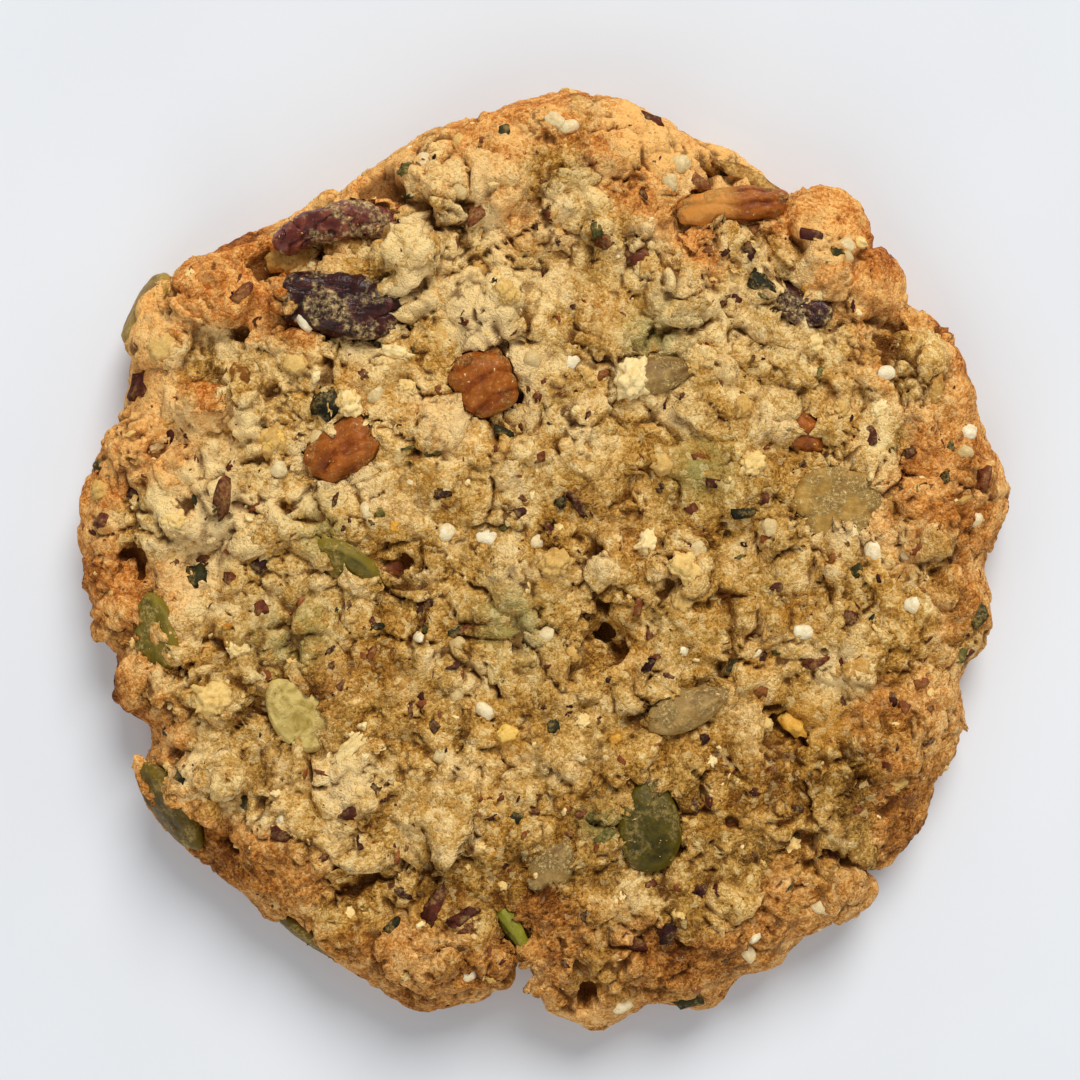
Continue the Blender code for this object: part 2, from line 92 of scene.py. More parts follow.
# Dough that touches a seed, nut or fruit closes on it within REACH. Within CREEP of it the dough climbs
# up to CLIMB over its edge, and lies LIP_THICKNESS thick there
REACH = 0.45
CREEP = 2.4
CLIMB = 1.5
LIP_THICKNESS = 0.22
PRESSED_IN = 0.12

# The dough climbs less over the seed in the front cleft, so that its whole length shows
EDGE_SEED_CLIMB = 0.7

# Bits with a place of their own lie this much higher than the rest, as a share of their thickness, and
# lean this much with the surface
NAMED_LIFT = 0.22
NAMED_LEAN = 0.4

# A laid lump is a sphere of triangles cut this often, with this many points
LUMP_DETAIL = 4
LUMP_POINTS = 642

# How far a laid lump sinks in, as a share of its height, how uneven it is, and how much relief it takes
LUMP_SUNK = 0.28
LUMP_SWELL = 0.34
LUMP_RELIEF = 0.8

# The cookie's radius at its top, a height above all of it, and the lowest level that a bit lies at
TOP_RADIUS = 46
ABOVE_ALL = 40
LOWEST_BIT = 2.5

# Seeds as large as a sesame seed, hulled and milky: x, y
WHITE_GRAINS = [
    (-23.5, 23.5), (-19, 29.6), (-16.5, 16.5), (-22.4, 12.2), (-26, 9), (-17.4, 4.6), (-9.5, 2.8),
    (-5.5, 2.3), (-0.7, 1.7), (15.2, 0.9), (22.4, 3.4), (-1, 19.9), (2.8, 19.5), (12.5, 37.4),
    (13.6, 39.3), (-8.2, 36.3), (30, 31.3), (30, 29.9), (33.8, 18.5), (36.4, -4.3), (42.9, 4),
    (42.6, 12.8), (42, 10.8), (32.6, 0.8), (25.7, -7), (0.2, -7.3), (-5.7, -14.9), (-8.5, -13.3),
    (-8.5, -8.2), (-9.9, -19.2), (-25.9, -25.4), (-32.8, -20.6), (-31.2, -22.7), (20.4, -39),
    (27.6, -34.4), (-7.4, -41), (7.9, -44.6), (1.2, 43.6), (2.6, 43), (-11.7, 39.3),
]

# Pale crumbs that have broken off: x, y, length, width
CREAM_CRUMBS = [
    (8.7, 18, 3.8, 3.2), (4.6, 18.3, 1.9, 1.5), (14.9, 19.3, 1.6, 1.9), (-14.6, 20.5, 3.2, 1.6),
    (-13.5, 17.3, 1.8, 1.4), (-44.2, 7, 2.2, 2), (3.9, -15.9, 1.5, 1.3), (33.2, 15, 1.9, 1.3),
    (29.4, 15, 1.7, 1.5), (27, 21.5, 2, 1.6), (18.8, 28.3, 1.9, 1.4), (20.6, 9.5, 2.6, 2.2),
    (1.2, -0.2, 3, 2.6), (14.2, -0.5, 3.8, 3), (10.4, 1.8, 2.6, 2), (13.6, -3.9, 2.8, 2.2),
    (-26.7, 11.6, 3, 3), (-19, 15.6, 2.6, 2.2), (-32.6, -13.5, 3.6, 3), (-19.3, -18.9, 4.6, 1.8),
    (-30, -8.6, 2.2, 1.8), (24.6, -28.4, 2.2, 1.6), (-36.2, 3.8, 2.4, 2), (7.2, -33.6, 2, 1.6),
    (35, -22, 2.4, 1.8), (-3.6, 26.4, 2.6, 2), (19.8, 15.2, 2.2, 1.6), (-38.6, 11.4, 2, 1.6),
]

# Flecks of bran, flax and dried berry skin: x, y, length, width, turn
RED_FLECKS = [
    (-31.3, 6.6, 4.8, 1.5, 86), (3.2, 5.8, 3.6, 1, 128), (0.6, 3.2, 3.4, 0.9, -50),
    (-2.2, 4.7, 1.4, 1.1, 20), (-10.8, -34.2, 6.4, 1.5, 66), (-8, -35.2, 3.4, 1.2, 32),
    (-7.7, -36.5, 2.4, 1.1, 40), (9, -37.8, 3.4, 1.3, -22), (12.3, -36.6, 2.6, 1.6, 70),
    (15.9, -32.7, 1.8, 1.2, 10), (15, -24.2, 1.9, 1, 100), (3.9, -25, 1.7, 1, 30),
    (4.2, -35.3, 1.8, 1.1, 80), (-0.9, -24.6, 1.4, 0.9, 0), (-13.9, -33, 2, 1, 150),
    (-14.5, -29.3, 2.1, 0.9, 75), (15.9, -17.6, 1.5, 1, 40), (-12.2, -4.3, 1.6, 1.2, 110),
    (-27.9, -4.6, 1.7, 1.4, 60), (-23.9, -4.2, 1.6, 1.2, 120), (-40.7, 6.8, 2.2, 1.2, 90),
    (-44, 4, 1.8, 1.4, 60), (-33.5, 0.2, 3.2, 2, 10), (-27.9, -0.4, 2.2, 1.5, 40),
    (-30.8, -1.8, 1.8, 1.3, -30), (-26, -27, 2.1, 1.7, -40), (-19, -24.8, 2.4, 1.4, 20),
    (26.2, 32.1, 2.4, 1.2, -10), (20.8, 32.8, 1.6, 1, 30), (20.3, 30.7, 1.8, 1.1, -60),
    (16.5, 30.8, 1.5, 1, 20), (15.5, 37.5, 2.2, 1.3, -30), (-0.5, 16.3, 1.3, 0.8, 80),
    (-10.1, 6.6, 2, 1, 10), (-0.3, 10.2, 1.5, 0.9, 50), (9.4, -4.6, 2.3, 0.9, 80),
    (10.5, -7.5, 1.6, 0.9, 100), (10.4, -10.3, 1.8, 0.9, 60), (-10.8, -16.3, 1.6, 1, 90),
    (-21, -8.9, 1.5, 1, 30), (-17, -9.2, 2.6, 0.8, 60), (-20, -12.4, 2.2, 0.8, 50),
    (25.5, 9.5, 1.9, 0.9, 35), (16.7, 7.6, 1.7, 1, 0), (14.7, 5.1, 1.8, 1.1, -30),
    (21.9, 6.2, 1.6, 1, 60), (23.1, -2.5, 1.6, 0.9, 15), (32.4, 12.2, 2, 1.2, 100),
    (36.4, 10.8, 1.7, 1.1, 30), (43.6, 7.9, 2.8, 1.5, 80), (30.3, -5.7, 2.1, 1.2, 120),
    (21.6, -9.6, 1.6, 1.2, 60), (21.6, -12.8, 1.8, 1.5, 90), (26.8, -10, 2.6, 1.2, 30),
    (35.6, -14.2, 1.8, 1.1, 100), (37.3, -12.1, 1.5, 1, 20), (31, -24.7, 1.7, 1.1, 60),
    (10.7, 44, 2.6, 1.2, -20), (-6.7, 34.3, 3, 1.6, 70), (8.4, 30.6, 4.4, 2.2, -28),
    (6.2, 31.6, 2, 1.6, 40), (-40.3, 17.3, 3.2, 2.3, 75), (-14.9, -0.9, 3.8, 2.3, 20),
    (-29.6, 26.2, 2.6, 1.3, 50), (-36.8, 12.6, 2.2, 1.1, 60),
]

# Scraps of dark green seed skin: x, y, length, width, turn
DARK_FLECKS = [
    (-21.5, 15.8, 3.7, 2.7, 110), (-13.7, 38.6, 1.5, 1.1, 70), (-4, 42.5, 1.9, 1.2, 40),
    (5.3, 32.4, 1.6, 1.2, 110), (28.8, 30.5, 2.3, 1, -15), (27.2, 18.6, 1.6, 0.9, 30),
    (-10.6, 10.7, 2.2, 1, 10), (-4, 12.8, 2.1, 1, -15), (1.7, 5.9, 1.6, 1.1, 100),
    (-3.9, 3.1, 1.7, 1, 40), (-16, 4.8, 1.4, 1, 40), (-16.5, -6.5, 1.6, 0.8, 10),
    (-11.5, -6.7, 1.9, 1.1, -10), (-8.7, -7, 1.5, 0.9, 30), (0.9, -16.3, 1.9, 1.2, 70),
    (19.5, 4.6, 2.4, 1.3, 10), (40, 8.4, 1.6, 1, 60), (40.4, 11.3, 1.5, 1, 100), (31, -0.9, 1.6, 1.1, 60),
    (18.4, -10.7, 2.3, 1.3, 40), (-29.5, -23.9, 2.4, 1.4, -20), (-35.7, -21.3, 2.2, 1.2, 60),
    (-44.6, 9.4, 1.8, 1.5, 80), (-15, -36.2, 2, 1, 50), (4.6, -25.4, 2.4, 1.6, 120),
    (6.2, -27.4, 2.4, 1.5, 40), (43.4, -5.3, 3, 1.6, 80), (41.6, -9.3, 2.4, 1.5, 70),
    (-34.3, -1.6, 2.6, 2.2, -30), (14.3, -44.2, 3.2, 1.6, 8), (-2.6, -25.2, 1.6, 1.1, 10),
    (21.5, 27.4, 3.2, 2.2, -30),
]

# Broken nut: x, y, length, width, turn
NUT_BITS = [
    (-25, 30.2, 5.2, 2.6, 12), (-20.6, 30.6, 2.6, 1.9, -20), (-18.8, 31, 2.2, 1.8, 40),
    (38.9, 16.1, 4.8, 1.7, 82), (-9.9, 22.6, 3.9, 1.9, 78), (-30.5, 18.1, 3, 2.8, 20),
    (20.5, 38.4, 7.6, 1.7, -28), (16.6, 39.6, 3, 1.5, -40), (-11.4, 31, 2.8, 2.4, 10),
    (4.4, 11.4, 2.8, 1.8, 30), (-24.5, 19.6, 2.6, 2, -30), (-6, 28.8, 3, 2, 70), (31, -10.6, 3, 2.2, 20),
    (-13.6, -12.4, 2.8, 1.7, 50), (24.6, -34.6, 2.8, 2, 10), (-37.4, 21.4, 3.6, 2.6, 30),
    (11.6, 9.6, 2.6, 2, -50), (34.4, 5.4, 2.6, 1.8, 80),
]

# Oats: x, y, length, width, turn
OAT_BITS = [
    (-9, -26.6, 7.4, 3.4, 62), (13, 24.6, 5.4, 2.6, -12), (2.8, 37.2, 5, 2.6, 8),
    (-28.6, 2.4, 5.2, 3.4, 30), (31.4, -28.4, 5.2, 2.8, -50), (-17.4, -29.4, 5.2, 2.8, 10),
    (21.4, -24.4, 4.8, 2.4, 70), (-33, 16.4, 4.2, 2.8, -20), (37.4, 23.4, 4.4, 2.4, -60),
    (5.6, -12.2, 4.6, 2.6, 35), (-28.6, -31.6, 4.6, 2.6, -35), (-4.6, -9.8, 4.4, 2.6, 80),
    (24.6, 19.4, 5.6, 2.6, -40), (-42, -1.6, 3.8, 2.4, 80), (15.6, 14, 6, 2.6, -38),
]

# Clumps of dough with steep sides: x, y, radius, height. CLUMP_LIFT raises them all
CLUMP_LIFT = 1.3
CLUMPS = [
    (-32.9, 26, 3.9, 1.1), (-38, 22, 2.8, 0.7), (-30.2, 17, 2.3, 0.8), (-33.4, 15.2, 2, 0.8),
    (-29.4, 12.9, 1.6, 0.6), (-34.6, 6.6, 4.6, 0.8), (-42.3, 11.4, 2.2, 0.6), (-12.4, 30, 2.7, 1.1),
    (-17, 28, 1.6, 0.7), (-6.6, 38.6, 5.6, 0.7), (-5.4, 25, 3.8, 0.7), (-13.6, 25.6, 2, 0.6),
    (7.8, 42, 3.8, 0.5), (28.6, 33.4, 4, 0.7), (34, 28, 3.2, 0.7), (38.4, 20.4, 2.8, 0.6),
    (19.4, 32, 2.6, 0.5), (14, 26.4, 3.8, 0.7), (2.4, 34.6, 3.6, 0.5), (38.2, 3, 2.8, 0.9),
    (-39.7, -12.4, 2.4, 0.8), (-32.4, -13.3, 3, 0.9), (-33.2, -21.4, 3.2, 1), (-42.6, -5.4, 2.2, 0.6),
    (-34.6, -3.4, 2.4, 0.6), (-9.6, -26, 4, 0.6), (-27.4, -27, 3, 0.6), (-12.6, -39.4, 4, 0.7),
    (-17.6, -21.4, 3.4, 0.5), (-19.8, -36, 2.8, 0.5), (21, -4.6, 3, 0.5), (33, -9, 3.2, 0.6),
    (38.6, -3, 3, 0.5), (34, -18, 3.6, 0.6), (30.4, -33.4, 2.8, 0.7), (14.2, 0, 3, 0.6), (-25, 5, 3, 0.5),
    (-10.6, 8.6, 3, 0.4), (2.4, -20, 3.2, 0.4), (20.6, -20.4, 3, 0.5), (7.4, -40, 2.8, 0.6),
    (18.6, -35.6, 3.6, 0.5), (30, 19, 3, 0.4), (-44, -1, 1.6, 0.5), (42.6, 8, 2, 0.4),
    (-1.4, -33.4, 2.4, 0.4), (24, 15.2, 2.6, 0.5), (-25.6, -19.8, 2.2, 0.5),
]

# Deep holes between the lumps, painted darker inside as shade: x, y, radius, depth
HOLES = [
    (6, -8.2, 0.9, 2), (6.9, -9.4, 0.8, 2), (5.4, -4.6, 0.8, 1.4), (6.4, -5, 0.6, 1.2),
    (3.2, 3, 0.7, 1.2), (4.7, 1.4, 0.7, 1.2), (9.3, 1.6, 0.7, 1.1), (-16.9, 38.4, 1.7, 1.6),
    (-15.2, 36.8, 1.4, 2.2), (17.3, 38.9, 1.1, 1.6), (-4.9, 19.2, 0.9, 1.6), (-7.6, 15.6, 0.7, 1.2),
    (-20.6, 11, 0.8, 1.2), (-35.2, 4.6, 1, 1.4), (-38.4, -8.6, 1.1, 1.6), (-36, -11.6, 1.2, 1.6),
    (11.8, -3.1, 0.7, 1.1), (-30.6, 22.8, 1.4, 2), (-22.4, 30, 1.5, 2), (-27.6, 29.6, 1.1, 1.8),
    (-37.8, 10.8, 1.3, 1.6), (-41.6, 0.2, 1.3, 2), (-28.2, 9.6, 1.1, 1.5), (-26.3, 16.2, 1.1, 1.4),
    (-6.9, 35, 0.9, 1.3), (-30.7, -28.6, 0.9, 1.4), (-27.8, -23.2, 0.8, 1.2), (-11.4, 27.6, 0.9, 1.3),
    (35.6, 2.1, 0.8, 1.5), (3.7, -40.8, 1.1, 1.6), (4.5, -43.6, 1.3, 1.8), (-14.6, -0.2, 1.3, 1.6),
    (-2.8, 16, 0.9, 1.8), (14.2, 33, 1.2, 1.8), (-36.2, -19, 1.3, 1.6), (-5.2, -13, 0.6, 0.9),
    (18.6, -25.6, 0.9, 1.2), (27.8, -8.4, 0.7, 1),
]

# Cracks and steps where the dough has parted, painted darker along them as shade: x, y, length, turn, width,
# depth
CRACKS = [
    (13, 22.8, 9.5, 4, 0.5, 1.3), (24.2, -16.2, 6, -42, 0.6, 1.4), (25.4, -25, 6, 84, 0.4, 1.1),
    (0.4, 39, 3, 10, 0.35, 0.8), (2.4, 37.3, 2.4, -20, 0.35, 0.8), (-2, 29, 4, -24, 0.5, 1),
    (-17.2, -32.2, 9.5, 22, 0.8, 1.8), (35, 23.2, 6, 12, 0.6, 1.3), (17, 39.5, 3.4, -38, 0.7, 1.3),
    (31.4, -30, 7.6, -8, 0.7, 1.7), (-6, 23.6, 4.4, 60, 0.45, 0.9), (34.6, 20.4, 6.4, -34, 0.4, 0.9),
    (-36, 25.4, 5, 40, 0.5, 1), (-24.4, 6.6, 4.6, 20, 0.45, 0.9), (8.8, -21.4, 4.6, -20, 0.4, 0.9),
    (17.6, 3.6, 3.6, 70, 0.4, 0.9), (-38, -14.4, 4.4, -50, 0.5, 1), (36, -30.4, 5, 12, 0.6, 1.2),
    (-12.6, 35, 7.4, -36, 0.8, 1.8), (13.6, -40.6, 4, 30, 0.4, 0.9),
]

# Lumps of dough that lie over the edges of what is set in it: x, y, length, width, height, turn
DOUGH_LUMPS = [
    (-36.1, -6.9, 6.4, 4.8, 2.8, 84), (-39.6, -22.2, 5, 1.8, 1.4, -64),
    (-22.4, -11.6, 5.6, 3.6, 1.8, -20), (-22, 0.8, 4.2, 3, 1.8, -30), (-16.6, -2.4, 3.4, 2.4, 1.5, 30),
    (-18.6, 7.8, 6.4, 2.6, 2, 24), (-15.8, 12.4, 3, 2.4, 1.7, 70), (-8.9, 19.8, 3, 2.2, 1.7, 50),
    (-4.6, 14.4, 3.6, 2, 1.6, -10), (-23.6, 21.2, 6.4, 2.4, 1.8, -14), (-15, 22.4, 3.6, 2.4, 1.6, 20),
    (-19.6, 28.8, 5, 2.4, 1.8, -8), (-25.6, 25.6, 2.6, 2.4, 1.6, 10), (-12.9, 30.4, 4.6, 3.8, 2.2, 30),
    (6.4, -24.4, 3.2, 2.4, 1.4, 70), (8.6, -30.4, 3, 2.2, 1.2, -20), (13.8, -22.4, 3, 2, 1.2, 40),
    (10.2, -16.4, 4, 2.4, 1.5, 20), (18.6, -13.2, 3.2, 2.4, 1.5, 60), (-1.6, -28.2, 3.6, 2.4, 1.5, 10),
    (3.2, -33, 3.4, 2.2, 1.4, -20), (9.4, 15.6, 4.6, 2.6, 1.6, 10), (15.6, 20.2, 3.4, 2.2, 1.5, -20),
    (28.4, 28, 4, 3, 1.8, 30), (22.6, 22.4, 4.4, 2.6, 1.6, -30), (-38.9, 25, 6, 3.5, 2.8, 60),
    (-33.8, -23.6, 5.4, 3, 2, -55), (23.6, 14.8, 2.8, 2.2, 1.4, 40), (33.6, 3.4, 4, 2.8, 1.6, -60),
    (25.2, 2.6, 4.2, 2.6, 1.5, 10), (-31.4, -21, 5.6, 4.4, 2.6, 10), (-36, -22.6, 3.4, 2.6, 1.8, -40),
    (-33.9, 15.6, 4, 3.6, 2.4, 30), (-33.4, 26.4, 6, 4.4, 3, 30), (-36.6, 9, 4.6, 3.2, 2, 70),
    (14.4, 0.4, 4.4, 3.4, 2.2, 20), (11.2, -0.6, 3, 2.6, 1.8, 60), (-8.4, -24, 6, 3, 1.8, 55),
    (24, 33.4, 4.6, 2.6, 1.8, -10), (15.6, 32.6, 3.4, 2.6, 1.8, 20), (-1.2, -39, 3.6, 3, 2, 40),
]

# Bits of dried apricot: x, y, length, width, turn
APRICOT_BITS = [
    (-26.6, 12, 2.3, 1.8, 20), (-19.1, 15.6, 2, 1.6, 50), (-3.5, -17, 2.4, 1.5, 10),
    (25, -16.2, 3.2, 1.9, -40), (7.2, -17.6, 1.3, 1, 30), (-14.6, 3.4, 1.5, 1.1, 60),
]

# Patches of the dough that differ in colour: x, y, radius. Honeyed, greyish green, paler, deeper,
# more baked, and brown from stains and, in some hollows, from painted shade
AMBER_BITS = [
    (-3.4, -17.8, 1.6), (25.6, -15.2, 2.2), (28.6, -16.6, 2), (-0.2, -1.9, 1.3), (7.4, -17.2, 0.8),
    (24.4, -5.4, 1.5), (10, 24.8, 1.0), (-36.6, -26, 1.4),
]
GREEN_STAINS = [
    (-24.6, -7.6, 3.6), (11, 22, 3), (-3, -6, 3.4), (5.6, -25.6, 2), (15.6, 9, 3), (-22, 3, 2.4),
]
PALE_PATCHES = [
    (-32, 6.2, 5.6), (-20, 7, 4.6), (-5, -20.7, 5.4), (-14, -29.7, 4.8), (-32, -21, 5), (-5, -11.7, 4),
    (-5, 24, 3.6), (29, -11.7, 3.6), (-21, -22, 3), (-23, 33, 3), (12, 42, 4), (20, 40, 3),
]
# Some of these are painted shade, such as the one at -32, 33.2 over a hollow
DEEP_PATCHES = [
    (4, 24.2, 5), (-32, 33.2, 3.4), (-24, 22, 3), (-23, -14, 4), (13, -38.7, 5), (4, 6.2, 3.4),
    (22, -21, 3.6), (-43.6, -2, 4.4), (40, 6.2, 4.4), (-32, -30, 4), (-43, -12, 3.4), (36, -25, 4.4),
    (0, -35, 3.6), (34, 32, 3),
]
BAKED_PATCHES = [
    (-11, 41, 3.4), (-2, 42.6, 5), (22, 38, 5), (41, 15, 4), (-23, 34.6, 2.6),
]
# Some of these are painted shade, such as the one at -36.2, -11.2 in a shadowed hollow
BROWN_STAINS_AND_SHADE = [
    (-33.5, 0.2, 4), (8.4, 30.6, 3.2), (24, 25.6, 4.6), (-6.7, 34.3, 2.6), (-27, 29, 4.5), (33, -27, 4),
    (21, -38, 5), (40, 14, 5), (-41, 12, 4), (-36, -24, 3.4), (2, -40, 5), (-36.2, -11.2, 2.4),
]

# The way the folds of each pecan piece run, in degrees from +X, and how far apart they are
PECAN_FOLDS = {
    "pecan_middle": (24, 2.3), "pecan_left": (35, 2.8), "pecan_long": (4, 1.7), "pecan_bit": (-20, 1.9),
}


def srgb(red, green, blue):
    """A colour as it looks on a screen, 0 to 255, as the shader wants it."""
    shares = [channel / 255 for channel in (red, green, blue)]
    linear = [c / 12.92 if c <= 0.04045 else ((c + 0.055) / 1.055) ** 2.4 for c in shares]
    return (*linear, 1)


def smooth_step(value, low, high):
    t = np.clip((value - low) / (high - low), 0, 1)
    return t * t * (3 - 2 * t)


def centre():
    """Where the places above are measured from, in the frame, in millimetres."""
    low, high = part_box("pepita_front")
    middle = (low + high) / 2 / MM
    return Vector((middle.x - FRONT_SEED_AT[0], middle.y - FRONT_SEED_AT[1], 0))


CENTRE = centre()


class Maker:
    """A material with short names for the nodes that the finishes below share."""

    def __init__(self, name):
        self.material = bpy.data.materials.new(name)
        self.material.use_nodes = True
        self.tree = self.material.node_tree
        self.shader = self.tree.nodes["Principled BSDF"]
        self.place = self.tree.nodes.new("ShaderNodeTexCoord").outputs["Object"]

    def node(self, kind, **settings):
        made = self.tree.nodes.new(kind)
        for name, value in settings.items():
            setattr(made, name, value)
        return made

    def feed(self, socket, value):
        if isinstance(value, bpy.types.NodeSocket):
            self.tree.links.new(value, socket)
        else:
            socket.default_value = value

    def attribute(self, name):
        return self.node("ShaderNodeAttribute", attribute_name=name).outputs["Fac"]

    def cloud(self, size, detail=2, rough=0.5, distortion=0):
        """Soft noise with features of this size in millimetres, 0 to 1 about 0.5."""
        made = self.node("ShaderNodeTexNoise")
        self.feed(made.inputs["Vector"], self.place)
        made.inputs["Scale"].default_value = 1 / (size * MM)
        made.inputs["Detail"].default_value = detail
        made.inputs["Roughness"].default_value = rough
        made.inputs["Distortion"].default_value = distortion
        return made.outputs["Fac"]

    def wavering(self, size, strength):
        """Places shaken by up to this many millimetres, so that what is laid on them looks uneven."""
        made = self.node("ShaderNodeTexNoise")
        self.feed(made.inputs["Vector"], self.place)
        made.inputs["Scale"].default_value = 1 / (size * MM)
        made.inputs["Detail"].default_value = 0
        shake = self.node("ShaderNodeVectorMath", operation="MULTIPLY_ADD")
        self.feed(shake.inputs[0], made.outputs["Color"])
        shake.inputs[1].default_value = (strength * MM,) * 3
        self.feed(shake.inputs[2], self.place)
        return shake.outputs[0]

    def grains(self, size, place):
        """Rounded grains of this size: the distance from a grain's middle, and its own number."""
        made = self.node("ShaderNodeTexVoronoi")
        self.feed(made.inputs["Vector"], place)
        made.inputs["Scale"].default_value = 1 / (size * MM)
        own = self.node("ShaderNodeSeparateColor")
        self.feed(own.inputs[0], made.outputs["Color"])
        return made.outputs["Distance"], own.outputs[0]

    def math(self, operation, first, second=0.0, third=0.0):
        made = self.node("ShaderNodeMath", operation=operation)
        for socket, value in zip(made.inputs, (first, second, third)):
            self.feed(socket, value)
        return made.outputs[0]

    def sway(self, value, pattern, amount):
        """The value moved up and down with a pattern that runs about 0.5."""
        return self.math("MULTIPLY_ADD", self.math("SUBTRACT", pattern, 0.5), amount, value)

    def between(self, value, low, high):
        """0 below low, 1 above high, smooth between. With low above high it falls instead."""
        made = self.node("ShaderNodeMapRange", interpolation_type="SMOOTHSTEP")
        self.feed(made.inputs["Value"], value)
        rising = low < high
        made.inputs["From Min"].default_value = low if rising else high
        made.inputs["From Max"].default_value = high if rising else low
        made.inputs["To Min"].default_value = 0 if rising else 1
        made.inputs["To Max"].default_value = 1 if rising else 0
        return made.outputs["Result"]

    def mix(self, share, first, second):
        made = self.node("ShaderNodeMix", data_type="RGBA")
        self.feed(made.inputs[0], share)
        self.feed(made.inputs[6], first)
        self.feed(made.inputs[7], second)
        return made.outputs[2]

    def ramp(self, value, stops):
        made = self.node("ShaderNodeValToRGB")
        self.feed(made.inputs["Fac"], value)
        elements = made.color_ramp.elements
        while len(elements) < len(stops):
            elements.new(1)
        for element, (position, colour) in zip(elements, stops):
            element.position = position
            element.color = colour
        return made.outputs["Color"]

    def bump(self, height, depth, strength=1, below=None):
        """Relief of this depth in millimetres, on top of the relief below."""
        made = self.node("ShaderNodeBump")
        made.inputs["Strength"].default_value = strength
        made.inputs["Distance"].default_value = depth * MM
        self.feed(made.inputs["Height"], height)
        if below:
            self.feed(made.inputs["Normal"], below)
        return made.outputs["Normal"]

    def finish(self, colour, roughness, normal=None, gloss=0.5, glow=0):
        """Sets the shader. glow is the share of light that passes through the outer millimetre."""
        inputs = self.shader.inputs
        self.feed(inputs["Base Color"], colour)
        self.feed(inputs["Roughness"], roughness)
        inputs["Specular IOR Level"].default_value = gloss
        inputs["Subsurface Weight"].default_value = glow
        inputs["Subsurface Radius"].default_value = (1, 0.6, 0.3)
        inputs["Subsurface Scale"].default_value = MM
        if normal:
            self.feed(inputs["Normal"], normal)
        return self.material


def dough_finish():
    """Baked crumb: yellowish tan, orange brown at the rim, painted paler on its clumps and warm brown between
    them as light and shade.
    """
    m = Maker("baked_dough")
    brown, tint, crevice_shade = m.attribute("brown"), m.attribute("tint"), m.attribute("crevice_shade")
    amber, green, stain_and_shade = m.attribute("amber"), m.attribute("green"), m.attribute("stain_and_shade")
    loose = m.wavering(0.5, 0.35)
    sand, sand_own = m.grains(0.24, loose)
    grit, grit_own = m.grains(0.6, loose)
    drift = m.cloud(6, detail=2, rough=0.5)
    mottle = m.cloud(1.9, detail=4, rough=0.58)
    powdery = m.cloud(0.34, detail=3, rough=0.7)
    # tint carries each lump's own tone and the painted light and shade of the relief
    value = m.sway(DOUGH_TONE, tint, m.math("MULTIPLY_ADD", brown, -0.45, 0.48))
    value = m.math("MULTIPLY_ADD", grit_own, 0.1, value)
    value = m.math("MULTIPLY_ADD", sand_own, 0.36, value)
    value = m.sway(value, powdery, 0.7)
    value = m.sway(value, mottle, 0.95)
    value = m.sway(value, drift, 0.9)
    value = m.sway(value, m.cloud(15, 1), 0.6)
    value = m.math("MULTIPLY_ADD", m.attribute("fair"), 0.34, value)
    # Darker towards the near side, less so at the rim
    near_side_dark = m.math("MULTIPLY", m.attribute("near_side_dark"), m.math("MULTIPLY_ADD", brown, -0.5, 1))
    value = m.math("MULTIPLY_ADD", near_side_dark, -0.35, value)
    golden = m.ramp(value, [(0.0, srgb(104, 60, 10)), (0.25, srgb(162, 112, 38)),
                            (0.5, srgb(210, 159, 76)), (0.85, srgb(250, 215, 146))])
    olive = m.ramp(value, [(0.0, srgb(92, 58, 12)), (0.25, srgb(152, 110, 44)),
                           (0.5, srgb(202, 156, 79)), (0.85, srgb(245, 210, 146))])
    crumb = m.mix(m.between(m.cloud(6.5, 3, 0.6), 0.4, 0.6), golden, olive)
    crust = m.ramp(value, [(0.0, srgb(94, 38, 4)), (0.25, srgb(158, 83, 24)),
                           (0.5, srgb(211, 129, 52)), (0.85, srgb(250, 191, 110))])
    dull = m.math("MULTIPLY", m.attribute("near_side_dark"), 0.4)
    colour = m.mix(m.between(brown, 0.1, 0.8), crumb, m.mix(dull, crust, olive))
    colour = m.mix(m.math("MULTIPLY", amber, 0.5), colour, srgb(202, 138, 44))
    greened = m.math("MULTIPLY", green, m.between(mottle, 0.3, 0.55))
    colour = m.mix(m.math("MULTIPLY", greened, 0.8), colour, srgb(148, 142, 78))
    patchy = m.between(m.cloud(2.2, 3), 0.52, 0.68)
    # Brown stains, partly painted shade in hollows
    stain_and_shade_share = m.math("MULTIPLY", m.math("MULTIPLY_ADD", stain_and_shade, 0.6, 0.22), patchy)
    colour = m.mix(stain_and_shade_share, colour, srgb(112, 68, 34))
    specks = m.math("MULTIPLY", m.between(sand_own, 0.94, 0.96), m.between(m.cloud(2.6, 1), 0.5, 0.56))
    colour = m.mix(m.math("MULTIPLY", specks, 0.5), colour, srgb(96, 50, 24))
    pale = m.math("MULTIPLY", m.between(grit_own, 0.84, 0.9), m.math("MULTIPLY_ADD", brown, -0.25, 0.3))
    colour = m.mix(pale, colour, srgb(250, 228, 164))
    sugar = m.math("MULTIPLY", m.between(sand_own, 0.06, 0.04), m.between(sand, 0.35, 0.15))
    colour = m.mix(m.math("MULTIPLY", sugar, 0.4), colour, srgb(255, 240, 198))
    # Painted shade: the crevices, pits, holes and cracks darkened towards a warm brown
    colour = m.mix(m.between(crevice_shade, 0.15, 0.8), colour, m.mix(0.78, colour, srgb(92, 46, 6)))
    fine = m.bump(m.math("MULTIPLY", sand, -1), 0.15, 0.85)
    fine = m.bump(powdery, 0.16, 0.8, fine)
    normal = m.bump(m.math("MULTIPLY", grit, -1), 0.13, 0.5, fine)
    return m.finish(colour, 0.75, normal, gloss=0.13)


def dusting(m, size, patch_size, low, high):
    """Flour and crumb: fine and soft within patches of this size, which low and high make fewer or more."""
    fine = m.between(m.cloud(size, 4, 0.7), 0.38, 0.64)
    return m.math("MULTIPLY", fine, m.between(m.cloud(patch_size, 4, 0.62), low, high))


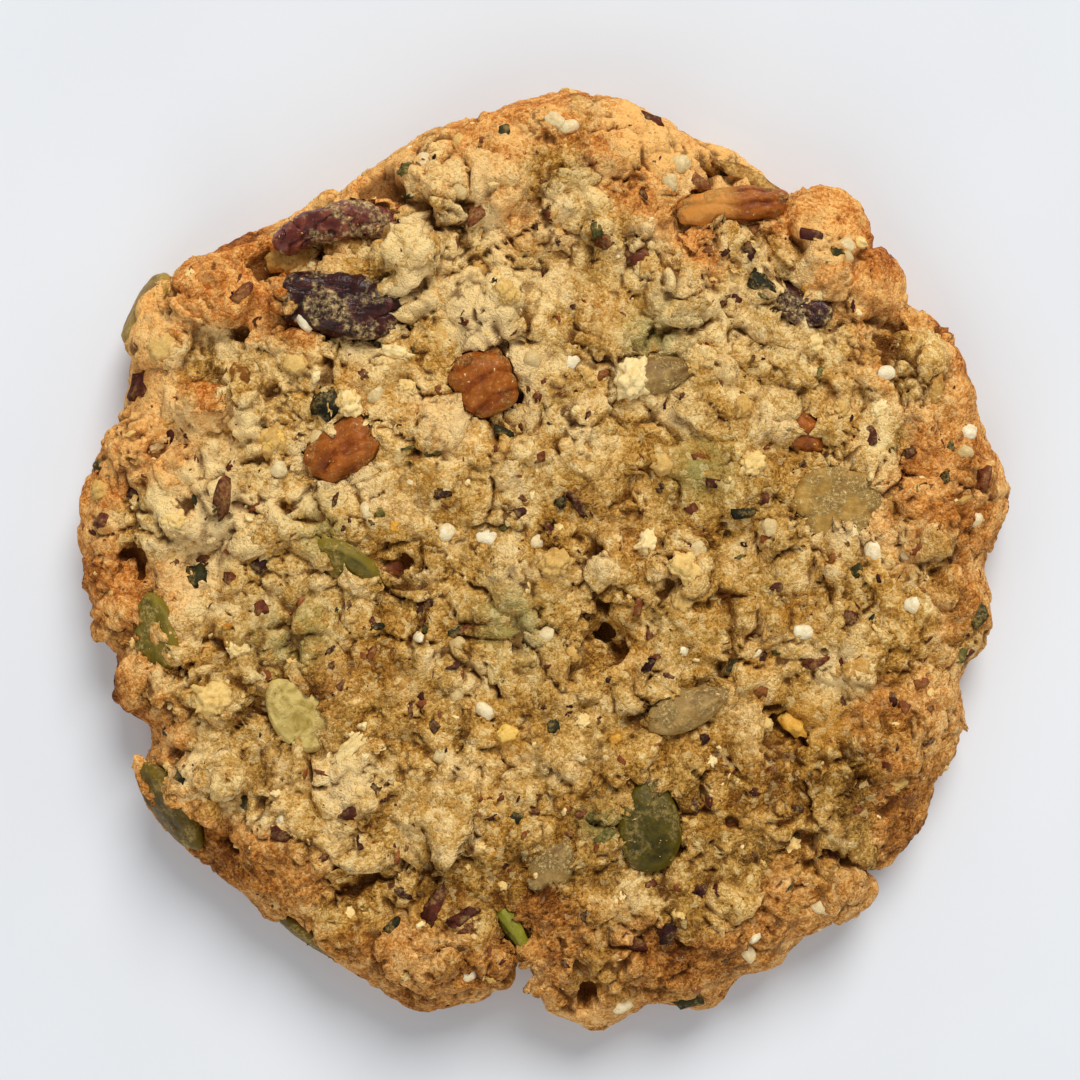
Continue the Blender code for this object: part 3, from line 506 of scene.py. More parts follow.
def seed_skin_finish(name, deep, light, dust=0.4):
    """Pumpkin seed skin: satin green, lighter along its edge, with crumb dusted over it in patches."""
    m = Maker(name)
    veins = m.cloud(1.6, detail=3, rough=0.6, distortion=0.8)
    colour = m.ramp(veins, [(0.3, deep), (0.72, light)])
    colour = m.mix(m.between(m.attribute("edge"), 0.72, 0.95), colour, m.mix(0.5, colour, light))
    powder = m.math("MULTIPLY", dusting(m, 0.4, 2.2, 0.47, 0.6), dust)
    colour = m.mix(powder, colour, srgb(206, 172, 98))
    normal = m.bump(m.cloud(0.4, 3, 0.6), 0.1, 0.6)
    normal = m.bump(powder, 0.1, 0.9, normal)
    return m.finish(colour, m.math("MULTIPLY_ADD", powder, 0.4, 0.42), normal, gloss=0.2)


def kernel_finish(name, low, high, dust=0.6):
    """Hulled kernel: greyish tan with faint ridges along its length, painted darker in the grooves between
    them as shade, dusted with crumb.
    """
    m = Maker(name)
    groove = m.attribute("groove")
    colour = m.ramp(m.cloud(1.2, 4, 0.65), [(0.3, low), (0.7, high)])
    # Painted shade: darker in the low grooves
    colour = m.mix(m.between(groove, 0.5, 0.15), colour, m.mix(0.6, colour, srgb(98, 62, 22)))
    powder = dusting(m, 0.3, 1.8, 0.44, 0.56)
    colour = m.mix(m.math("MULTIPLY", powder, dust), colour, srgb(226, 192, 122))
    normal = m.bump(m.cloud(0.35, 3, 0.6), 0.12, 0.8)
    normal = m.bump(powder, 0.14, 0.9, normal)
    return m.finish(colour, 0.5, normal, gloss=0.3)


def pecan_finish():
    """Pecan skin: orange brown with a dull shine, painted dark in its folds as shade and pale along its
    broken ridges as highlight.
    """
    m = Maker("pecan_skin")
    groove, edge = m.attribute("groove"), m.attribute("edge")
    colour = m.ramp(m.cloud(1.1, 4, 0.65), [(0.3, srgb(88, 32, 1)), (0.5, srgb(132, 61, 6)),
                                            (0.72, srgb(176, 98, 26))])
    # Painted light and shade: paler on the ridges, dark in the folds, with streaks of painted highlight on
    # the ridges
    colour = m.mix(m.between(groove, 0.62, 0.95), colour, m.mix(0.25, colour, srgb(206, 124, 48)))
    colour = m.mix(m.between(groove, 0.5, 0.1), colour, srgb(70, 26, 2))
    colour = m.mix(m.math("MULTIPLY", m.attribute("bare"), 0.85), colour, srgb(218, 146, 64))
    ridge_highlight_streaks = m.math("MULTIPLY", m.between(m.cloud(0.45, 3, 0.7), 0.56, 0.66), m.between(groove, 0.7, 0.9))
    colour = m.mix(m.math("MULTIPLY", ridge_highlight_streaks, 0.4), colour, srgb(226, 164, 92))
    dust = m.math("MULTIPLY", dusting(m, 0.34, 1.6, 0.46, 0.58), m.between(edge, 0.6, 0.95))
    colour = m.mix(m.math("MULTIPLY", dust, 0.7), colour, srgb(218, 172, 98))
    normal = m.bump(m.cloud(0.4, 3, 0.6), 0.14, 0.8)
    normal = m.bump(dust, 0.12, 0.9, normal)
    return m.finish(colour, m.math("MULTIPLY_ADD", dust, 0.3, 0.42), normal, gloss=0.2)


def fruit_finish(name, deep, middle, light, dust):
    """Dried fruit: dark with redder patches, painted darker in its creases as shade, flour and crumb stuck to
    it.
    """
    m = Maker(name)
    colour = m.ramp(m.cloud(1.6, 3, 0.6, 0.6), [(0.3, deep), (0.55, middle), (0.75, light)])
    # Painted shade: the deepest colour in the creases
    colour = m.mix(m.between(m.attribute("groove"), 0.45, 0.2), colour, deep)
    powder = dusting(m, 0.5, 2.6, 0.47, 0.58)
    colour = m.mix(m.math("MULTIPLY", powder, dust), colour, srgb(218, 184, 126))
    normal = m.bump(m.cloud(0.5, 3, 0.65), 0.16, 0.8)
    normal = m.bump(powder, 0.14, 0.9, normal)
    return m.finish(colour, m.math("MULTIPLY_ADD", powder, 0.5, 0.3), normal, gloss=0.3)


def bits_finish(name, stops, rough, gloss, glow, dust):
    """Small bits whose colour runs along these stops with each bit's own tint, dusted with crumb."""
    m = Maker(name)
    sand, sand_own = m.grains(0.24, m.wavering(0.5, 0.35))
    shade = m.sway(m.attribute("tint"), m.cloud(0.7, 4, 0.65), 0.9)
    colour = m.ramp(m.sway(shade, sand_own, 0.16), stops)
    powder = dusting(m, 0.34, 1.7, 0.46, 0.56)
    colour = m.mix(m.math("MULTIPLY", powder, dust), colour, srgb(216, 176, 100))
    normal = m.bump(m.math("MULTIPLY", sand, -1), 0.1, 0.5)
    normal = m.bump(m.cloud(0.4, 3, 0.6), 0.1, 0.6, normal)
    return m.finish(colour, rough, normal, gloss=gloss, glow=glow)


def floor_finish():
    m = Maker("pale_floor")
    colour = m.ramp(m.cloud(40, 2), [(0.3, srgb(225, 228, 232)), (0.7, srgb(230, 233, 237))])
    return m.finish(colour, 0.85, gloss=0.2)


def apply_modifiers(obj):
    graph = bpy.context.evaluated_depsgraph_get()
    mesh = bpy.data.meshes.new_from_object(obj.evaluated_get(graph))
    obj.modifiers.clear()
    obj.data = mesh


def merged_copy(node):
    """The node's form as a bmesh with its triangles joined, in metres."""
    bm = bmesh.new()
    bm.from_mesh(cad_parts[node].data)
    bmesh.ops.remove_doubles(bm, verts=bm.verts, dist=0.001 * MM)
    return bm


def object_from(bm, name):
    mesh = bpy.data.meshes.new(name)
    bm.to_mesh(mesh)
    bm.free()
    obj = bpy.data.objects.new(name, mesh)
    bpy.context.scene.collection.objects.link(obj)
    return obj


def read_points(mesh):
    """The mesh's points and normals, in millimetres, as arrays."""
    points = np.empty(len(mesh.vertices) * 3)
    mesh.vertices.foreach_get("co", points)
    normals = np.empty(len(mesh.vertices) * 3)
    mesh.vertex_normals.foreach_get("vector", normals)
    return points.reshape(-1, 3) / MM, normals.reshape(-1, 3)


def write_points(mesh, points):
    mesh.vertices.foreach_set("co", (points * MM).astype(np.float32).ravel())
    mesh.update()


def write_attribute(mesh, name, values):
    layer = mesh.attributes.new(name, "FLOAT", "POINT")
    layer.data.foreach_set("value", np.asarray(values, np.float32))


def wear(piece, material, nodes=()):
    """Gives a finished piece its material and smooth shading, hangs it under the root body, and hides the
    nodes it stands for.
    """
    piece.data.materials.clear()
    piece.data.materials.append(material)
    piece.data.shade_smooth()
    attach(piece, "root")
    if nodes:
        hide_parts(*nodes)
    return piece


def bells(points, places):
    """How near each point is to any of the places (x, y, radius), from 0 to 1."""
    near = np.zeros(len(points))
    for x, y, radius in places:
        away = np.hypot(points[:, 0] - CENTRE.x - x, points[:, 1] - CENTRE.y - y) / radius
        near = np.maximum(near, np.exp(-(away**2)))
    return near


def rim_share(points):
    """How far out each point lies, as a share of the outline's radius in its own direction."""
    angles = np.arctan2(points[:, 1], points[:, 0])
    radii = np.hypot(points[:, 0], points[:, 1])
    sectors = 120
    sector = ((angles + math.pi) / (2 * math.pi) * sectors).astype(int) % sectors
    reach = np.zeros(sectors)
    np.maximum.at(reach, sector, radii)
    reach = (np.roll(reach, 1) + 2 * reach + np.roll(reach, -1)) / 4
    return radii / reach[sector]


def warped(point, size, strength):
    return point + noise.noise_vector(point / size) * size * strength


def lump_at(point, size):
    """The lump that a point is on: how far it is from the crease round it, and its own number, -1 to 1."""
    distances, places = noise.voronoi(point / size)
    return distances[1] - distances[0], noise.cell(places[0] * 17.3)


def rounding(edge):
    """Height across a lump, 0 in the crease and 1 on its flat top."""
    return 1 - max(0, 1 - edge * 3.2) ** 2


def pit(point):
    """Depth share of the small holes that steam leaves."""
    distances, places = noise.voronoi(point / PIT_SPACING)
    if noise.cell(places[0] * 13.7) < 0.3:
        return 0
    return math.exp(-((distances[0] * PIT_SPACING / PIT_RADIUS) ** 2))


def dough_surface(point, calm):
    """The dough's relief at a point, in millimetres, its lump's tint, and how deep in the fissures and pits
    it lies, for painted shade.
    calm is 1 on the smooth rim."""
    swirl = warped(warped(point, 3.4, 0.34), 1.1, 0.22)
    rough = 1 - RIM_CALM * calm
    rise, tint = 0.35 * noise.noise(point / 7), 0
    edges = []
    for size, round_rise, step in zip(LUMP_SIZES, LUMP_ROUNDING, LUMP_STEP):
        edge, number = lump_at(swirl, size)
        edges.append(edge)
        rise += rough * (round_rise * (rounding(edge) - 0.7) + step * number)
        tint += number / len(LUMP_SIZES)
    rise += CRUMBLE * rough * noise.fractal(point / 1.3, 0.65, 2.1, 4)
    crevice_shade = 0
    for edge, depth, size in zip(edges, FISSURE_DEPTH, (5.5, 3.3)):
        open_here = float(smooth_step(noise.noise(point / size + Vector((3, 8, 1))), 0, 0.3))
        share = max(0, 1 - edge / 0.1) * open_here
        rise -= depth * share * rough
        crevice_shade = max(crevice_shade, share)
    hole = pit(swirl)
    return rise - PIT_DEPTH * hole * rough, tint, max(crevice_shade, hole)


def along_crack(points, crack):
    """How near each point is to a crack's wavering line, 0 to 1."""
    x, y, length, turn, width, _ = crack
    angle = math.radians(turn)
    dx, dy = points[:, 0] - CENTRE.x - x, points[:, 1] - CENTRE.y - y
    along = dx * math.cos(angle) + dy * math.sin(angle)
    across = dy * math.cos(angle) - dx * math.sin(angle)
    waver = 0.35 * np.sin(along * 1.9 + x) + 0.2 * np.sin(along * 4.3 + y)
    thin = width * np.clip(1 - (along / (length / 2)) ** 2, 0, 1)
    return np.where(thin > 0.02, np.exp(-(((across - waver) / np.maximum(thin, 0.02)) ** 2)), 0)


def even_dough():
    """The cookie's own form with an even mesh, twice as fine on its top and side as underneath."""
    base = object_from(merged_copy("cookie"), "dough")
    remesh = base.modifiers.new("even", "REMESH")
    remesh.mode = "VOXEL"
    remesh.voxel_size = GRID * MM
    apply_modifiers(base)
    bm = bmesh.new()
    bm.from_mesh(base.data)
    upper = [e for e in bm.edges if min(v.co.z for v in e.verts) > HALVED_ABOVE * MM]
    bmesh.ops.subdivide_edges(bm, edges=upper, cuts=1, use_grid_fill=True)
    for _ in range(SMOOTHINGS):
        bmesh.ops.smooth_vert(
            bm, verts=bm.verts, factor=0.5, use_axis_x=True, use_axis_y=True, use_axis_z=True
        )
    bmesh.ops.triangulate(bm, faces=bm.faces)
    bm.to_mesh(base.data)
    bm.free()
    return base


def tree_of(objects):
    """One search tree over the surfaces of these objects."""
    bm = bmesh.new()
    for obj in objects:
        bm.from_mesh(obj.data)
    tree = BVHTree.FromBMesh(bm)
    bm.free()
    return tree


def close_on(points, set_pieces):
    """Draws the dough against the seeds, nuts and fruit set in it, and in places up over their edges."""
    tree = tree_of(set_pieces)
    owners = np.concatenate([np.full(len(piece.data.polygons), i) for i, piece in enumerate(set_pieces)])
    middles = np.array([read_points(piece.data)[0].mean(axis=0) for piece in set_pieces])
    climbs = [EDGE_SEED_CLIMB if piece.name == "pepita_edge_piece" else CLIMB for piece in set_pieces]
    for index, point in enumerate(points):
        place, normal, face, distance = tree.find_nearest(Vector(point) * MM, CREEP * MM)
        if place is None:
            continue
        place, distance, normal = np.array(place / MM), distance / MM, np.array(normal)
        middle = middles[owners[face]]
        if (point - place) @ normal < 0 or (distance < REACH and point[2] < middle[2]):
            points[index] = place - normal * PRESSED_IN
            continue
        patchy = float(smooth_step(noise.noise(Vector(point) / 2.1 + Vector((5, 1, 7))), -0.3, 0.25))
        inward = middle - point
        inward[2] = 0
        inward *= climbs[owners[face]] * patchy * (1 - distance / CREEP) / max(np.linalg.norm(inward), 0.1)
        moved = point + inward
        place, normal, _, distance = tree.find_nearest(Vector(moved) * MM, CREEP * MM)
        if place is None:
            continue
        place, normal = np.array(place / MM), np.array(normal)
        clear = (moved - place) @ normal
        if clear < LIP_THICKNESS:
            thickness = LIP_THICKNESS if patchy > 0.15 else -PRESSED_IN
            moved = place + normal * thickness
        points[index] = moved
    return points


def browning(points, share):
    """How brown the crust is: most at the rim and underneath, in patches elsewhere."""
    patches = np.array([noise.fractal(Vector(p) / 8, 1, 2, 3) for p in points])
    browned = smooth_step(share + 0.14 * patches, 0.68, 0.98)
    side = smooth_step(points[:, 2], 10, 6)
    under = smooth_step(points[:, 2], 3.5, 0.5)
    return np.clip(0.08 + 0.72 * browned + 0.3 * patches + 0.65 * under + 0.2 * side, 0, 1)


def near_side_darkening(points):
    """How far each point lies towards the near side, -Y, and a little towards +X; the crumb is made darker
    there.
    """
    return smooth_step(0.2 * points[:, 0] - 0.92 * points[:, 1], -26, 30)


def dough_looks(points, share, tint, crevice_shade, stain_and_shade_strength=1.0):
    """What the dough's finish reads at each point."""
    above = smooth_step(points[:, 2], 1.5, 4)
    fair = (bells(points, PALE_PATCHES) - bells(points, DEEP_PATCHES)) * above
    baked = bells(points, BAKED_PATCHES) * above
    return {
        "brown": np.clip(browning(points, share) - 0.25 * fair + 0.4 * baked, 0, 1),
        "near_side_dark": near_side_darkening(points) * (0.4 + 0.6 * above),
        "tint": np.clip(tint, 0, 1),
        "crevice_shade": np.clip(crevice_shade, 0, 1) * (0.3 + 0.7 * above),
        "fair": fair,
        "amber": bells(points, AMBER_BITS) * above,
        "green": bells(points, GREEN_STAINS) * above,
        "stain_and_shade": bells(points, BROWN_STAINS_AND_SHADE) * above * stain_and_shade_strength,
    }


def write_looks(mesh, looks):
    for name, values in looks.items():
        write_attribute(mesh, name, values)


def make_dough(set_pieces, material):
    dough = even_dough()
    points, normals = read_points(dough.data)
    share = rim_share(points)
    calm = np.maximum(smooth_step(share, RIM_STARTS, 0.98), smooth_step(points[:, 2], 10.5, 6.5))
    rise, tint, crevice_shade = np.array([dough_surface(Vector(p), c) for p, c in zip(points, calm)]).T
    ragged = points + np.array([
        noise.noise_vector(Vector(p) / 3.2) * 1.5 + noise.noise_vector(Vector(p) / 1.1) * 0.8 for p in points
    ])
    for x, y, radius, height in CLUMPS:
        away = np.hypot(ragged[:, 0] - CENTRE.x - x, ragged[:, 1] - CENTRE.y - y) / radius
        rise += CLUMP_LIFT * height * smooth_step(away, 1.08, 0.8)
        # Painted shade: a dark ring round the foot of each clump
        crevice_shade = np.maximum(crevice_shade, 0.55 * np.exp(-(((away - 1.1) * radius / 0.3) ** 2)))
    for x, y, radius, depth in HOLES:
        hole = smooth_step(bells(ragged, [(x, y, radius)]), 0.25, 0.75)
        rise, crevice_shade = rise - depth * hole, np.maximum(crevice_shade, hole)
    for crack in CRACKS:
        opened = along_crack(ragged, crack) * smooth_step(points[:, 2], 6, 8)
        rise, crevice_shade = rise - crack[-1] * opened, np.maximum(crevice_shade, opened)
    # Tint also follows height: raised places are painted paler and low ones darker, as light and shade, on
    # top of each lump's own tone
    tint = 0.28 * tint + 0.8 * (rise - rise.mean())
    raised = 0.12 + 0.88 * smooth_step(points[:, 2], FLAT_BELOW, 2.0)
    write_looks(dough.data, dough_looks(points, share, 0.5 + 0.5 * tint, crevice_shade))
    points = close_on(points + normals * (rise * raised)[:, None], set_pieces)
    points[:, 2] = np.maximum(points[:, 2], 0)
    write_points(dough.data, points)
    return wear(dough, material, ["cookie"])


def own_axes(points):
    """A piece's middle and its length, width and thickness directions, the last one pointing up."""
    middle = points.mean(axis=0)
    _, _, axes = np.linalg.svd(points - middle, full_matrices=False)
    if axes[2][2] < 0:
        axes[2] *= -1
    return middle, axes


def refined(node, levels):
    """A smooth dense copy of a node, with its points and their places along its own axes, -1 to 1."""
    piece = object_from(merged_copy(node), node + "_piece")
    smooth = piece.modifiers.new("smooth", "SUBSURF")
    smooth.levels = smooth.render_levels = levels
    apply_modifiers(piece)
    points, normals = read_points(piece.data)
    middle, axes = own_axes(points)
    own = (points - middle) @ axes.T
    half = np.abs(own).max(axis=0)
    return piece, points, normals, own, half


def wrinkles(own, size, stretch=1):
    """Uneven relief, about -1 to 1, with features of this size. A stretch under 1 draws it out along the
    piece's length."""
    return np.array([noise.fractal(Vector((a * stretch, b, c)) / size, 1, 2, 3) for a, b, c in own])


def seed_piece(node, material):
    """A pumpkin seed: a flat face with a faint dimple, a raised line round its edge and small wrinkles."""
    piece, points, normals, own, half = refined(node, 3)
    out = np.hypot(own[:, 0] / half[0], own[:, 1] / half[1])
    ridge = np.exp(-(((out - 0.84) / 0.07) ** 2)) * 0.14
    dimple = -np.exp(-((out / 0.5) ** 2)) * 0.12
    relief = ridge + dimple + 0.13 * wrinkles(own, 1.5, 0.45)
    write_points(piece.data, points + normals * relief[:, None])
    write_attribute(piece.data, "edge", out)
    return wear(piece, material, [node])


def kernel_piece(node, material):
    """A sunflower kernel: ridges along its length that gather at its point."""
    piece, points, normals, own, half = refined(node, 3)
    across = own[:, 1] / half[1]
    wave = np.sin(across * 6 + np.sin(own[:, 0] * 0.7) * 1.2)
    relief = 0.05 * wave + 0.2 * wrinkles(own, 1.1, 0.35)
    write_points(piece.data, points + normals * relief[:, None])
    write_attribute(piece.data, "groove", np.clip(0.5 + relief * 2.4, 0, 1))
    return wear(piece, material, [node])


def pecan_piece(node, material):
    """A broken piece of pecan: uneven folds across it, and fine wrinkles."""
    piece, points, normals, own, half = refined(node, 3)
    turn, spacing = PECAN_FOLDS[node]
    angle = math.radians(turn)
    level = points - points.mean(axis=0)
    across = level[:, 1] * math.cos(angle) - level[:, 0] * math.sin(angle)
    bend = np.array([noise.noise(Vector(p) / 3) for p in points])
    fold = np.abs(np.sin(math.pi * across / spacing + bend * 1.2))
    shallow = 0.75 + 0.25 * np.array([noise.noise(Vector(o) / 2.6 + Vector((4, 4, 4))) for o in own])
    rough = wrinkles(own, 1.2, 0.6)
    groove = 1 - shallow * (1 - np.sqrt(fold))
    write_points(piece.data, points + normals * (0.42 * groove - 0.32 + 0.25 * rough)[:, None])
    write_attribute(piece.data, "groove", np.clip(groove + 0.25 * rough, 0, 1))
    write_attribute(piece.data, "edge", np.hypot(own[:, 0] / half[0], own[:, 1] / half[1]))
    bare = smooth_step(-level[:, 0], -1.2, 1.2) if node == "pecan_long" else 0 * across
    write_attribute(piece.data, "bare", bare)
    return wear(piece, material, [node])


def fruit_piece(node, material):
    """A piece of dried fruit: soft wrinkles and a few sharp creases."""
    piece, points, normals, own, _ = refined(node, 3)
    crease = np.array([abs(noise.noise(warped(Vector(o), 2, 0.4) / 2.2)) for o in own])
    relief = 0.3 * wrinkles(own, 2.4) - 0.34 * np.exp(-((crease / 0.06) ** 2))
    write_points(piece.data, points + normals * relief[:, None])
    write_attribute(piece.data, "groove", np.clip(0.55 + relief, 0, 1))
    return wear(piece, material, [node])


def oat_piece(node, material):
    """A large rolled flake: uneven, with one bent crack running along it and a frayed face."""
    piece, points, normals, own, half = refined(node, 3)
    line = own[:, 1] - 0.7 * np.sin(own[:, 0] * 0.6) - 0.4
    fade = smooth_step(own[:, 0] / half[0], 0.7, -0.2)
    crack = 0.2 * np.exp(-((line / 0.16) ** 2)) * fade
    relief = 0.3 * wrinkles(own, 2.6) + 0.14 * wrinkles(own, 0.9, 0.3) - crack
    write_points(piece.data, points + normals * relief[:, None])
    write_attribute(piece.data, "groove", np.clip(0.55 + relief * 1.2, 0, 1))
    return wear(piece, material, [node])


def chip_shape(detail, roughness, flat=1.0, seed=0.0, bend=0.0, groove=0.0, rubble=0.0):
    """A rough pebble about 1 across. flat thins it, bend curls it, groove scores it along its length and
    rubble breaks up its face."""
    bm = bmesh.new()
    bmesh.ops.create_icosphere(bm, subdivisions=detail, radius=0.5)
    for vertex in bm.verts:
        away = vertex.co.normalized()
        coarse = noise.noise(away * 1.7 + Vector((seed, seed * 0.7, 3)))
        broken = noise.fractal(away * 2.3 + Vector((seed, 5, seed)), 0.7, 2.2, 3)
        vertex.co *= 1 + roughness * coarse + rubble * broken
        vertex.co.z *= flat
        vertex.co.z -= groove * math.exp(-((vertex.co.y / 0.1) ** 2)) * (1 if vertex.co.z > 0 else 0)
        vertex.co.z -= bend * vertex.co.x**2
    bmesh.ops.triangulate(bm, faces=bm.faces)
    return bm


def shape_arrays(bm):
    points = np.array([v.co[:] for v in bm.verts])
    faces = np.array([[v.index for v in f.verts] for f in bm.faces])
    bm.free()
    return points, faces


def spin_to(normals, turns, tilts):
    """Rotations that stand each bit on its normal, turned about it and rocked by its tilt."""
    turned = np.empty((len(normals), 3, 3))
    for index, (normal, turn, tilt) in enumerate(zip(normals, turns, tilts)):
        lying = Vector((0, 0, 1)).rotation_difference(Vector(normal)).to_matrix()
        flat_turn = Matrix.Rotation(turn, 3, "Z") @ Matrix.Rotation(tilt, 3, "X")
        turned[index] = lying @ flat_turn
    return turned


def joined_bits(name, shapes, places, normals, sizes, turns, tilts, looks):
    """One mesh of many small bits. Each is one of the shapes, in turn, at its place in millimetres, and
    looks holds a number for each bit for every attribute that its finish reads."""
    turned = spin_to(normals, turns, tilts)
    all_points, all_faces, owners, offset = [], [], [], 0
    for number, (base, faces) in enumerate(shapes):
        chosen = np.arange(number, len(places), len(shapes))
        scaled = base[None] * sizes[chosen][:, None, :]
        moved = np.einsum("nij,nmj->nmi", turned[chosen], scaled) + places[chosen][:, None, :]
        starts = offset + np.arange(len(chosen)) * len(base)
        all_points.append(moved.reshape(-1, 3))
        all_faces.append((faces[None] + starts[:, None, None]).reshape(-1, 3))
        owners.append(np.repeat(chosen, len(base)))
        offset += len(chosen) * len(base)
    points, faces, owners = np.concatenate(all_points), np.concatenate(all_faces), np.concatenate(owners)
    mesh = bpy.data.meshes.new(name)
    mesh.vertices.add(len(points))
    mesh.loops.add(faces.size)
    mesh.polygons.add(len(faces))
    mesh.vertices.foreach_set("co", (points * MM).astype(np.float32).ravel())
    mesh.loops.foreach_set("vertex_index", faces.astype(np.int32).ravel())
    mesh.polygons.foreach_set("loop_start", np.arange(0, faces.size, 3, dtype=np.int32))
    mesh.update(calc_edges=True)
    for attribute, values in looks.items():
        write_attribute(mesh, attribute, np.asarray(values)[owners])
    obj = bpy.data.objects.new(name, mesh)
    bpy.context.scene.collection.objects.link(obj)
    return obj


class Ground:
    """The finished top of the dough and of what is set in it, for laying bits on."""

    def __init__(self, dough, set_pieces):
        self.tree = tree_of([dough, *set_pieces])
        triangles, owners = [], []
        for owner, obj in enumerate([dough, *set_pieces]):
            obj.data.calc_loop_triangles()
            points, _ = read_points(obj.data)
            corners = np.empty(len(obj.data.loop_triangles) * 3, np.int32)
            obj.data.loop_triangles.foreach_get("vertices", corners)
            triangles.append(points[corners.reshape(-1, 3)])
            owners.append(np.full(len(corners) // 3, owner))
        self.triangles = np.concatenate(triangles)
        self.on_dough = np.concatenate(owners) == 0
        crossed = np.cross(
            self.triangles[:, 1] - self.triangles[:, 0], self.triangles[:, 2] - self.triangles[:, 0]
        )
        lengths = np.linalg.norm(crossed, axis=1)
        self.areas = lengths / 2
        self.normals = crossed / np.maximum(lengths, 1e-12)[:, None]
        self.middles = self.triangles.mean(axis=1)
        self.shares = rim_share(self.middles)

    def above(self, x, y):
        """The surface over a named place, drawn inwards where the place is past the outline."""
        for step in range(12):
            pull = 1 - 0.01 * step
            start = Vector((CENTRE.x + x * pull, CENTRE.y + y * pull, ABOVE_ALL)) * MM
            place, normal, _, _ = self.tree.ray_cast(start, Vector((0, 0, -1)))
            if place and place.z > LOWEST_BIT * MM:
                return np.array(place / MM), np.array(normal)
        raise ValueError(f"nothing lies under {x}, {y}")

    def draw(self, rng, count, weights):
        """Random places spread by area and weight, with the surface's normals there."""
        chances = self.areas * weights
        chosen = rng.choice(len(chances), count, p=chances / chances.sum())
        first, second = rng.random(count), rng.random(count)
        over = first + second > 1
        first[over], second[over] = 1 - first[over], 1 - second[over]
        base = self.triangles[chosen]
        places = base[:, 0] + first[:, None] * (base[:, 1] - base[:, 0])
        places += second[:, None] * (base[:, 2] - base[:, 0])
        return places, self.normals[chosen], self.shares[chosen]


def looks_of(places, share, rng, kind):
    """What the finish of these bits reads: all that the dough's does, or only each bit's own tint."""
    if kind != "dough":
        return {"tint": rng.uniform(0.1, 0.9, len(places))}
    return dough_looks(places, share, rng.uniform(0.2, 1, len(places)), np.zeros(len(places)), 0.5)


def laid_bits(name, ground, rng, named, count, weights, shapes, spread, thickness, sink, kind):
    """Bits of one kind: the named ones where they were seen, then count more at random.
    spread is the range of random lengths and of width over length; thickness is a share of the width."""
    places, normals, sizes, turns, shares = [], [], [], [], []
    for x, y, length, width, turn in named:
        place, normal = ground.above(x, y)
        lift = NAMED_LEAN * normal + np.array((0, 0, 1 - NAMED_LEAN))
        normal = lift / np.linalg.norm(lift)
        places.append(place - normal * width * thickness * (sink - NAMED_LIFT))
        normals.append(normal)
        sizes.append((length, width, width * thickness))
        turns.append(math.radians(turn))
        shares.append(math.hypot(x, y) / TOP_RADIUS)
    drawn, drawn_normals, drawn_shares = ground.draw(rng, count, weights)
    lengths = spread[0] + (spread[1] - spread[0]) * rng.random(count) ** 2
    widths = lengths * rng.uniform(spread[2], spread[3], count)
    heights = widths * thickness
    sunk = drawn - drawn_normals * (heights * sink)[:, None]
    places = np.concatenate([np.array(places).reshape(-1, 3), sunk])
    normals = np.concatenate([np.array(normals).reshape(-1, 3), drawn_normals])
    sizes = np.concatenate([np.array(sizes).reshape(-1, 3), np.stack([lengths, widths, heights], axis=1)])
    turns = np.concatenate([turns, rng.uniform(0, 2 * math.pi, count)])
    tilts = np.concatenate([rng.uniform(-0.2, 0.2, len(named)), rng.uniform(-0.5, 0.5, count)])
    looks = looks_of(places, np.concatenate([shares, drawn_shares]), rng, kind)
    return joined_bits(name, shapes, places, normals, sizes, turns, tilts, looks)


def make_lumps(dough, set_pieces, material):
    """Lumps of dough over the edges of what is set in it, so that it is held and not laid on."""
    tree = tree_of([dough, *set_pieces])
    rng = np.random.default_rng(DRAW_SEED)
    bm = bmesh.new()
    for number, (x, y, length, width, height, turn) in enumerate(DOUGH_LUMPS):
        start = Vector((CENTRE.x + x, CENTRE.y + y, ABOVE_ALL)) * MM
        place, _, _, _ = tree.ray_cast(start, Vector((0, 0, -1)))
        if place is None or place.z < 3 * MM:
            continue
        made = bmesh.ops.create_icosphere(bm, subdivisions=LUMP_DETAIL, radius=1)["verts"]
        stand = Matrix.Translation(place / MM + Vector((0, 0, -LUMP_SUNK * height)))
        turned = stand @ Matrix.Rotation(math.radians(turn), 4, "Z")
        shape = turned @ Matrix.Diagonal((length / 2, width / 2, height / 2, 1))
        for vertex in made:
            away = vertex.co.copy()
            swollen = 1 + LUMP_SWELL * noise.fractal(away * 1.1 + Vector((number * 3.1, 0, 2)), 1, 2, 3)
            point = shape @ (away * swollen)
            rise, _, _ = dough_surface(point, 0)
            vertex.co = point + away * rise * LUMP_RELIEF
    points = np.array([v.co[:] for v in bm.verts])
    for vertex in bm.verts:
        vertex.co *= MM
    each = np.repeat(rng.uniform(0.3, 0.8, len(points) // LUMP_POINTS), LUMP_POINTS)
    lumps = object_from(bm, "dough_lumps")
    share = np.hypot(points[:, 0], points[:, 1]) / TOP_RADIUS
    write_looks(lumps.data, dough_looks(points, share, each, np.zeros(len(points))))
    return wear(lumps, material)


def bit_shapes():
    """A few shapes of each kind, which the bits take in turn."""
    kinds = {
        "pebble": ((1, 4, 9, 15, 22), 1, 0.5, 0.8, {}),
        "lump": ((2, 6, 11), 2, 0.75, 0.85, {}),
        "crumbly": ((2, 6, 11, 17), 3, 0.35, 0.9, {"rubble": 0.3}),
        "broken": ((3, 5, 14, 20), 4, 0.3, 0.9, {"rubble": 0.42}),
        "grain": ((3, 8, 12), 3, 0.2, 1.0, {}),
        "sliver": ((5, 12, 19, 26), 2, 0.9, 0.7, {"bend": 0.3}),
        "flake": ((7, 13), 3, 0.4, 1.0, {"groove": 0.12, "rubble": 0.25}),
    }
    return {
        name: [shape_arrays(chip_shape(detail, roughness, flat, seed, **more)) for seed in seeds]
        for name, (seeds, detail, roughness, flat, more) in kinds.items()
    }


